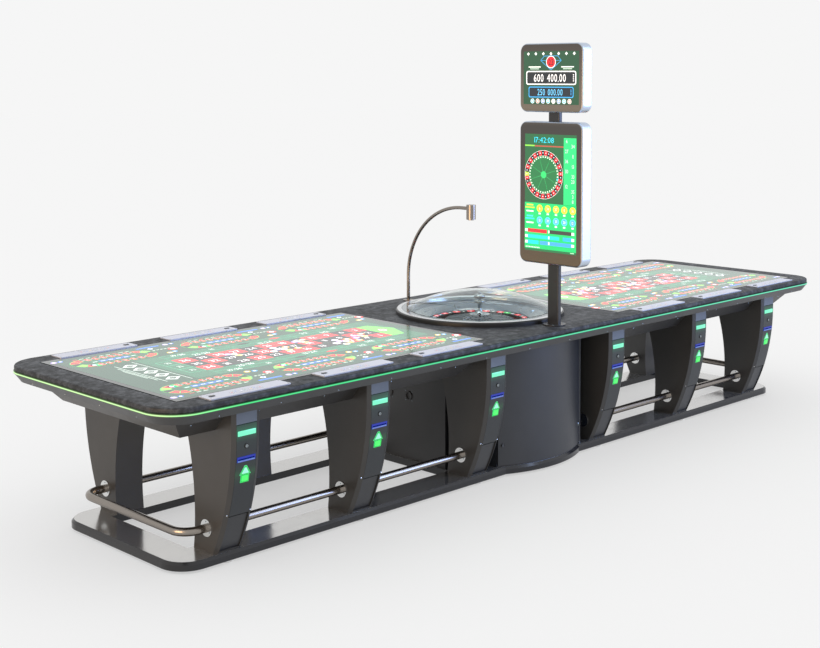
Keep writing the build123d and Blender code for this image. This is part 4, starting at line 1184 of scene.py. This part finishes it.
# %% One half's layout
def layout():
    """Betting layout of the half at negative X."""
    art = []
    glass_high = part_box("screen_glasses")[1]
    near, far = 565 * MM, glass_high.x
    middle = -(near + far) / 2
    bar(art, middle, 0, far - near - 56 * MM, 2 * glass_high.y - 52 * MM, "#14432f", 0)
    bar(art, -1.40, 0, 1.46, 0.51, "#1f6547", 1)
    column, line = 1.18 / 12, 0.29 / 3
    value = 1
    for c in range(12):
        for r in range(3):
            x, y = -0.82 - column * (c + 0.5), (r - 1) * line
            bar(art, x, y, column - 4 * MM, line - 4 * MM, tone_of(value), 2)
            number(art, str(value), x, y, 0.04, "#f4f4f2", 3)
            value += 1
    zero_field = [(-0.818, -0.143), (-0.74, -0.143), (-0.68, 0), (-0.74, 0.143), (-0.818, 0.143)]
    poly(art, zero_field, "#6ade4c", 2)
    number(art, "0", -0.76, 0, 0.06, "#f4f4f2", 3)
    for r in range(3):
        frame_box(art, -2.046, (r - 1) * line, 0.086, line - 4 * MM, 3 * MM, "#58b088", 2)
        number(art, "2:1", -2.046, (r - 1) * line, 0.026, "#e8f4ec", 3, 0.9, math.pi / 2)
    for side in (1, -1):
        for k, text in enumerate(("25-36", "13-24", "1-12")):
            x = -2.0 + 1.18 * (k + 0.5) / 3
            frame_box(art, x, side * 0.172, 1.18 / 3 - 6 * MM, 0.044, 2.4 * MM, "#4aa67c", 2)
            number(art, text, x, side * 0.172, 0.03, "#f2f6f2", 3)
        for k, text in enumerate(("19-36", "1", "B", "R", "2", "1-18")):
            x = -2.0 + 1.18 * (k + 0.5) / 6
            frame_box(art, x, side * 0.222, 1.18 / 6 - 6 * MM, 0.046, 2.4 * MM, "#4aa67c", 2)
            if text in "BR":
                tall = 0.018
                rhomb = [(x - 0.04, side * 0.222), (x, side * 0.222 - tall), (x + 0.04, side * 0.222),
                    (x, side * 0.222 + tall)]
                poly(art, rhomb, BLACK if text == "B" else RED, 3)
            else:
                number(art, text if len(text) > 1 else text + ":" + text, x, side * 0.222, 0.028,
                    "#f2f6f2", 3)
    # Ornament at the far end: white rhombs between fine lines, in place of any lettering.
    for k in range(5):
        y = (k - 2) * 0.085
        rhomb = [(-2.245, y), (-2.205, y - 0.034), (-2.165, y), (-2.205, y + 0.034)]
        poly(art, rhomb, "#eef4f0", 2)
        poly(art, [(-2.228, y), (-2.205, y - 0.02), (-2.182, y), (-2.205, y + 0.02)], "#14432f", 3)
    for x, half in ((-2.262, 0.21), (-2.278, 0.16), (-2.29, 0.1), (-2.15, 0.24)):
        bar(art, x, 0, 4 * MM, 2 * half, "#cfe2d6", 2)
    tokens = ((-1.45, -0.025, 7), (-1.10, -0.087, 9), (-1.27, 0.06, 4), (-0.95, -0.03, 4), (-1.7, 0.05, 3))
    shades = ("#f4f0ff", "#b8a0f0", "#fff2b0", "#ffb060", "#f8f8f8", "#ffd860", "#e8e0ff")
    for x, y, count in tokens:
        for k in range(count):
            angle, reach = 2.4 * k, 0.017 * math.sqrt(k)
            spot = (x + 1.5 * reach * math.cos(angle) * 1.4, y + reach * math.sin(angle) * 1.4)
            disc(art, *spot, 0.019, shades[k % 7], 4 + k % 3, 14)
            disc(art, *spot, 0.011, shades[(k + 3) % 7], 5 + k % 3 + 2, 10)
    for middle in (-2.1275, -1.5075, -0.8875):
        racetrack(art, middle, FRONT)
        racetrack(art, middle, REAR)
    return art


picture = layout()
GLASS_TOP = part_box("screen_glasses")[1].z + 0.05 * MM
printed("table_picture_left", picture, lambda u, v, w: (u, v, GLASS_TOP + w))
printed("table_picture_right", picture, lambda u, v, w: (-u, -v, GLASS_TOP + w))

# %% [markdown]
# ## The tower's displays
# The tower shows the game to players on both sides, so both faces carry the same picture: a tall screen with
# the wheel, the last numbers and the shares of red and black, and a small sign above it with two counters.

# %% The tall screen
def tall_screen():
    """Wheel graphic, list of past numbers, two rows of discs and three share bars, in millimetres."""
    art = []
    bar(art, 0, 0, 352, 630, "#1c5a32", 0)
    bar(art, 0, -179, 352, 248, "#16c46c", 1)
    bar(art, 0, -309, 352, 12, "#1e6a3c", 2)
    number(art, "17:42:08", -44, 284, 30, "#2fd4ee", 2)
    bar(art, -143, 252, 66, 7, "#8ae04a", 1)
    bar(art, -10, 251, 196, 7, "#a8503c", 1)
    bar(art, 132, 121, 84, 356, "#24cf74", 1)
    past = (6, 34, 27, 11, 36, 13, 30, 33, 20, 12, 35, 3, 8)
    for k, value in enumerate(past):
        number(art, str(value), 110 if k in (0, 2, 4, 6, 9) else 152, 282 - 26.5 * k, 19, "#d8f6e4", 2, 0.8)
    u, v = -46, 98
    disc(art, u, v, 131, "#e8f0ea", 1, 48)
    slice_of = 2 * math.pi / POCKETS
    for k, value in enumerate(ORDER):
        start, stop = math.pi - slice_of / 2 + k * slice_of, math.pi + slice_of / 2 + k * slice_of
        arc_cell(art, u, v, 103, 129, start, stop, "#b4f04a" if value == 0 else tone_of(value), 2, 2)
        middle = (start + stop) / 2
        disc(art, u + 117 * math.cos(middle), v + 117 * math.sin(middle), 3.4, "#f4f4f4", 3, 6)
    disc(art, u, v, 102, "#1f7a40", 2, 48)
    for k in range(POCKETS):
        angle = slice_of * (k + 0.5)
        disc(art, u + 95 * math.cos(angle), v + 95 * math.sin(angle), 4.2, "#e8f6ec", 3, 6)
    disc(art, u, v, 88, "#1c6c3a", 3, 40)
    for k in range(8):
        angle = math.pi * k / 4 + 0.3
        c, s = math.cos(angle), math.sin(angle)
        poly(art, [(u - 1.6 * s, v + 1.6 * c), (u + 84 * c - 0.8 * s, v + 84 * s + 0.8 * c),
            (u + 84 * c + 0.8 * s, v + 84 * s - 0.8 * c), (u + 1.6 * s, v - 1.6 * c)], "#2fa45c", 4)
    disc(art, u, v, 19, "#2cc86a", 5, 20)
    disc(art, 48, 76, 6, "#38d0e8", 4, 10)
    for row, code, rim in ((-84, "#f4ea3a", "#f8b43a"), (-148, "#5adcf4", "#48a8f0")):
        for k in range(5):
            spot = -72 + 56 * k
            disc(art, spot, row, 20, code, 2, 24)
            disc(art, spot, row, 14.5, rim, 3, 20)
            number(art, str(past[k + (row < -100) * 5]), spot, row, 15, "#fdfdf6", 4, 0.8)
            bar(art, spot, row - 28, 16, 9, "#d8f8e4", 2)
    for v, wide, code in ((-68, 46, "#e0e84a"), (-82, 64, "#c8e83a"), (-102, 50, "#e8fff0"),
        (-128, 44, "#48e8e8"), (-142, 62, "#30e0e0"), (-164, 50, "#e8fff0")):
        bar(art, -140, v, wide, 8, code, 2)
    for v, parts in ((-206, ((-88, 134, RED), (70, 150, "#383a34"))),
        (-238, ((-46, 218, "#1ce8cc"), (120, 66, "#2fb0e0"))),
        (-269, ((-118, 78, "#12dce0"), (40, 220, "#46a2e8")))):
        for spot, wide, code in parts:
            bar(art, spot, v, wide, 20, code, 2)
        for spot in (-164, -8, 154):
            bar(art, spot, v, 18 if spot != -8 else 9, 15, "#e8fff4", 3)
    for k in range(9):
        bar(art, -164 + 11 * k, -296, 8, 6, "#d8f6e4", 3)
    bar(art, 150, -308, 26, 5, "#a8e0b8", 3)
    return art


print("tall screen shapes:", len(tall_screen()))

# %% The sign above it
def small_sign():
    """Two framed counters under a faceted gem with a number, in millimetres."""
    art = []
    bar(art, 0, 0, 377, 283, "#1b452b", 0)
    for k in range(7):
        u = -156 + 52 * k
        poly(art, [(u - 9, 128), (u, 119), (u + 9, 128), (u, 137)], "#f2f4f2", 1)
    gem = [(-70, 92), (-46, 116), (46, 116), (70, 92), (0, 42)]
    for (a, b), (c, d) in zip(gem, gem[1:] + gem[:1]):
        length = math.hypot(c - a, d - b)
        nx, ny = -(d - b) / length * 1.6, (c - a) / length * 1.6
        poly(art, [(a - nx, b - ny), (c - nx, d - ny), (c + nx, d + ny), (a + nx, b + ny)], "#3a9ad0", 1)
    bar(art, 0, 92, 136, 2.4, "#3a9ad0", 2)
    for s in (1, -1):
        bar(art, s * 112, 58, 84, 6, "#e8efe9", 1)
        bar(art, s * 112, 48, 60, 5, "#b8d0c0", 1)
    disc(art, 0, 84, 33, "#f0f0f0", 3, 32)
    disc(art, 0, 84, 29, "#c8141e", 4, 32)
    number(art, "23", 0, 84, 30, "#3a0408", 5, 0.85)
    poly(art, rounded(170, 37, 12, 0, 0, 4), "#f2f4f2", 1)
    poly(art, rounded(164, 31, 9, 0, 0, 4), "#17191c", 2)
    number(art, "600 400.00", -8, 0, 42, "#f8f8f8", 3, 0.72)
    poly(art, rounded(153, 29, 10, 0, -76, 4), "#3aa0dc", 1)
    poly(art, rounded(148, 24, 8, 0, -76, 4), "#141a22", 2)
    number(art, "250 000.00", -6, -76, 34, "#6ccaf8", 3, 0.7)
    for v, high, code in ((0, 44, "#e8e8e8"), (-76, 34, "#3a9ad0")):
        for k in range(4):
            bar(art, 152 if v == 0 else 136, v + high * (0.36 - 0.24 * k), 7, high * 0.14, code, 3)
    coins = ("#48c0e8", "#f0806a", "#5a88e8", "#38c8d8", "#f0ece0", "#5a8ae0", "#30d8e0", "#f08878")
    for k, code in enumerate(coins):
        disc(art, -126 + 36 * k, -124, 13, "#f4f4f4", 1, 20)
        disc(art, -126 + 36 * k, -124, 10.5, code, 2, 18)
        disc(art, -126 + 36 * k, -124, 5.5, "#f8f8f8", 3, 10)
    return art


print("sign shapes:", len(small_sign()))

# %% Both faces of the tower
screens_low, screens_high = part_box("display_screens")
tower_y = (screens_low.y + screens_high.y) / 2
for side, label in ((-1, "left"), (1, "right")):
    for art, level, name in ((tall_screen(), 1486, "tall_screen"), (small_sign(), 2101.5, "sign_screen")):

        def on_face(u, v, w, side=side, level=level):
            return (side * (40.03 * MM + w), tower_y + side * u * MM, (level + v) * MM)

        printed(f"{name}_{label}", art, on_face, "table", 0.08 * MM)

# %% [markdown]
# ## Keys on the station plates
# Each player has a satin steel plate let into the padding, with a row of touch keys in its middle. The keys are
# printed: a thin dark outline, a paler field and a small coloured sign in it.

# %% Station keys
def key_print():
    """Screen-printed enamel on steel: flat colours with a slight gloss, not lit."""
    material, tree, shader, _ = finish_of("screen_printed_enamel", Roughness=0.3)
    colour = add(tree, "ShaderNodeAttribute", attribute_name="ink").outputs["Color"]
    tree.links.new(colour, shader.inputs["Base Color"])
    return material


key_ink = key_print()


def station_keys(middle, row, level):
    """Printed keys of one plate."""
    sign = 1.0 if row == FRONT else -1.0
    art = []
    signs = ("#c8303a", "#3a6ac8", "#e8e8ec", "#2f9a58", "#d8a830", "#3a6ac8", "#c8303a")
    for k, code in enumerate(signs):
        u, v = (k - 3) * 25, 6 if k % 2 else -4
        poly(art, rounded(11, 8, 3, u, v, 3), "#4c4f58", 0)
        poly(art, rounded(9.6, 6.6, 2.2, u, v, 3), "#b8bac2", 1)
        disc(art, u, v, 4, code, 2, 10)
    for k in range(12):
        bar(art, (k - 5.5) * 14, -22 if k % 3 else -20, 8, 2.4, "#55585f", 0)
    bar(art, -176, 26, 22, 3, "#55585f", 0)
    y = -590 if row == FRONT else 590

    def on_plate(u, v, w):
        return ((middle + sign * u) * MM, (y + sign * v) * MM, level + w)

    name = f"station_keys_{'front' if row == FRONT else 'rear'}_{round(middle + 3000)}"
    piece = printed(name, art, on_plate, "table", 0.1 * MM)
    piece.data.materials.clear()
    piece.data.materials.append(key_ink)


PLATE_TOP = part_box("station_plates")[1].z + 0.03 * MM
STATIONS = (-2127.5, -1507.5, -887.5, 887.5, 1507.5, 2127.5)
for middle in STATIONS:
    station_keys(middle, FRONT, PLATE_TOP)
    station_keys(middle, REAR, PLATE_TOP)

# %% [markdown]
# ## Screws, ports and vents
# Small hardware tells the eye how large the table is. A ray sent at the frame finds the exact surface and its
# direction for each screw, so none floats or sinks. Screws on one body are one mesh.

# %% Finding a surface
from mathutils.bvhtree import BVHTree

skins = {}


def surface(node, start, direction):
    """Place and outward direction where a ray from start first meets a node."""
    if node not in skins:
        mesh = nodes[node].data
        skins[node] = BVHTree.FromPolygons([v.co for v in mesh.vertices],
            [p.vertices for p in mesh.polygons])
    spot, normal, _, _ = skins[node].ray_cast(Vector(start), Vector(direction))
    if spot is not None and normal.dot(Vector(direction)) > 0:
        normal = -normal
    return spot, normal


print("flange face at x:", round(surface("rail_flanges", (-3, -0.427, 0.155), (1, 0, 0))[0].x, 4))

# %% Screws on the rail flanges and under the table edge
def screwed(name, tree, rays, sizes, body="table"):
    """Screws where rays meet the frame."""
    hits = [surface(*ray) for ray in rays]
    hits = [(spot, normal) for spot, normal in hits if spot is not None]
    mesh = grown(name, tree, [spot for spot, _ in hits], [normal for _, normal in hits], sizes)
    work = bmesh.new()
    work.from_mesh(mesh)
    bmesh.ops.remove_doubles(work, verts=work.verts, dist=0.01 * MM)
    bmesh.ops.recalc_face_normals(work, faces=work.faces)
    work.to_mesh(mesh)
    work.free()
    piece = settle(name, mesh, body, [])
    print(name, len(hits), "placed,", len(mesh.polygons), "faces")
    return piece


rays = []
for reach, way in ((588, -1), (1260, 1), (1418, -1), (2043, 1), (2201, -1)):
    for side in (1, -1):
        for y in (-400, 400):
            for turn in (90, 210, 330):
                angle = math.radians(turn)
                start = (side * (reach - way * 8) * MM, (y + 29 * math.cos(angle)) * MM,
                    (155 + 29 * math.sin(angle)) * MM)
                rays.append(("rail_flanges", start, (side * way, 0, 0)))
screwed("flange_screws", bright_screws, rays, {"Radius": 3.4 * MM, "Height": 1.4 * MM})

rays = []
for k in range(-7, 8):
    for side in (1, -1):
        rays.append(("edge_apron", (k * 0.33, side * 0.8, 0.709), (0, -side, 0)))
for y in (-0.42, -0.14, 0.14, 0.42):
    for side in (1, -1):
        rays.append(("edge_apron", (side * 2.8, y, 0.709), (-side, 0, 0)))
screwed("apron_screws", bright_screws, rays, {"Radius": 3.2 * MM, "Height": 1.2 * MM})

rays = []
for side in (1, -1):
    for x in (0.75, 1.2, 1.62, 2.0, 2.36):
        for y in (-1, 1):
            rays.append(("monitor_housings", (side * x, y * 0.7, 0.655), (0, -y, 0)))
    for y in (-0.3, 0.0, 0.3):
        rays.append(("monitor_housings", (side * 2.6, y, 0.655), (-side, 0, 0)))
screwed("housing_screws", bright_screws, rays, {"Radius": 4 * MM, "Height": 1.5 * MM})
disc_rays = [("tower_pole", (0.051 * math.cos(t), -0.541 + 0.051 * math.sin(t), 0.8), (0, 0, -1))
    for t in (0.5, 2.6, 3.7, 5.8)]
screwed("pole_screws", bright_screws, disc_rays, {"Radius": 4 * MM, "Height": 1.6 * MM})
arm_rays = [("camera_arm", (0.024 * math.cos(t), 0.572 + 0.024 * math.sin(t), 0.79), (0, 0, -1))
    for t in (0.8, 2.9, 5.0)]
screwed("arm_screws", bright_screws, arm_rays, {"Radius": 2.4 * MM, "Height": 1.2 * MM})
plate_rays = []
for middle in STATIONS:
    for y in (-590, 590):
        for du in (-206, 206):
            for dv in (-34, 34):
                plate_rays.append(("station_plates", ((middle + du) * MM, (y + dv) * MM, 0.8), (0, 0, -1)))
screwed("plate_screws", bright_screws, plate_rays, {"Radius": 2.8 * MM, "Height": 0.8 * MM})

# %% Sockets in the cabinet's end walls
def port(work, matrix):
    """Round socket: a raised collar and a dark sunk throat."""
    part = bmesh.new()
    turned(part, [(0, 0.2), (15, 0.2), (17, 1), (18, 5), (23, 5), (25, 3.5), (25, -1), (0, -1)], 32)
    for k in range(4):
        angle = math.pi / 4 + math.pi / 2 * k
        turned(part, [(0, -0.5), (2.6, -0.5), (2.6, 1.4), (1.8, 2), (0, 2)], 10,
            (34 * math.cos(angle), 34 * math.sin(angle), 0), 1)
    bmesh.ops.scale(part, vec=(MM, MM, MM), verts=part.verts)
    bmesh.ops.transform(part, matrix=matrix, verts=part.verts)
    mesh = bpy.data.meshes.new("port")
    part.to_mesh(mesh)
    part.free()
    work.from_mesh(mesh)


ports = bmesh.new()
for side in (1, -1):
    for y, z in ((-8, 392), (-158, 390), (-8, 530), (-158, 530)):
        turn = Matrix.Rotation(side * math.pi / 2, 4, "Y")
        spot, _ = surface("centre_cabinet", (side * 0.7, side * y * MM, z * MM), (-side, 0, 0))
        port(ports, Matrix.Translation(spot) @ turn)
settle("cabinet_ports", closed(ports), "table", [black_abs, chrome])
print("ports:", 8)

# %% Cabinet door locks
for name, side in (("front", -1), ("rear", 1)):
    lock = bmesh.new()
    turned(lock, [(0, -1), (13, -1), (13, 1.5), (12, 2.5), (9, 2.5), (8.5, 3.2), (0, 3.2)], 28)
    bmesh.ops.scale(lock, vec=(MM, MM, MM), verts=lock.verts)
    spot, normal = surface(f"cabinet_door_{name}", (side * -0.32, side * 0.8, 0.1645), (0, -side, 0))
    facing = Vector(normal).to_track_quat("Z", "X").to_matrix().to_4x4()
    bmesh.ops.transform(lock, matrix=Matrix.Translation(spot) @ facing, verts=lock.verts)
    settle(f"cabinet_lock_{name}", closed(lock), f"cabinet_door_{name}", chrome)
print("cabinet locks placed")

# %% [markdown]
# Rows of small slots let warm air out of the display cases. Each slot is drawn as a thin black block laid on the
# case, not as a hole in it: painted shade for the dark inside of the slot. A Geometry Nodes line gives the places
# and one block is put on each.

# %% Vents
def vent_tree(finish):
    """A line of upright black blocks, painted shade for slots, above each given point: count, pitch, height and
    width are inputs.
    """
    tree, given = new_tree("row_of_vents", "Count", "Pitch", "Tall", "Wide", "Thick")
    size = add(tree, "ShaderNodeCombineXYZ", {"X": given["Wide"], "Y": given["Thick"], "Z": given["Tall"]})
    slit = add(tree, "GeometryNodeMeshCube", {"Size": size.outputs[0]})
    step = add(tree, "ShaderNodeCombineXYZ", {"Z": given["Pitch"]})
    whole = add(tree, "ShaderNodeMath", {0: given["Count"]}, operation="ROUND").outputs[0]
    line = add(tree, "GeometryNodeMeshLine", {"Count": whole, "Offset": step.outputs[0]}, mode="OFFSET")
    row = add(tree, "GeometryNodeInstanceOnPoints",
        {"Points": line.outputs[0], "Instance": slit.outputs["Mesh"]})
    rows = add(tree, "GeometryNodeInstanceOnPoints",
        {"Points": given["Points"], "Instance": row.outputs[0]})
    real = add(tree, "GeometryNodeRealizeInstances", {"Geometry": rows.outputs[0]})
    painted = add(tree, "GeometryNodeSetMaterial", {"Geometry": real.outputs[0], "Material": finish})
    tree.links.new(painted.outputs[0], tree.nodes.new("NodeGroupOutput").inputs[0])
    return tree


vents = vent_tree(black_abs)
case_low, case_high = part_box("display_housing")
for name, start, count in (("tall_case_vents", 1.50, 16), ("sign_case_vents", 2.06, 11)):
    spots = [(x, y, start) for x in (-0.006, 0.006)
        for y in (case_low.y + 0.15 * MM, case_high.y - 0.15 * MM)]
    sizes = {"Count": count, "Pitch": 8 * MM, "Tall": 3.2 * MM, "Wide": 2 * MM, "Thick": 0.5 * MM}
    mesh = grown(name, vents, spots, [(0, 0, 1)] * len(spots), sizes)
    settle(name, mesh, "table", [])
    print(name, "faces:", len(mesh.polygons))
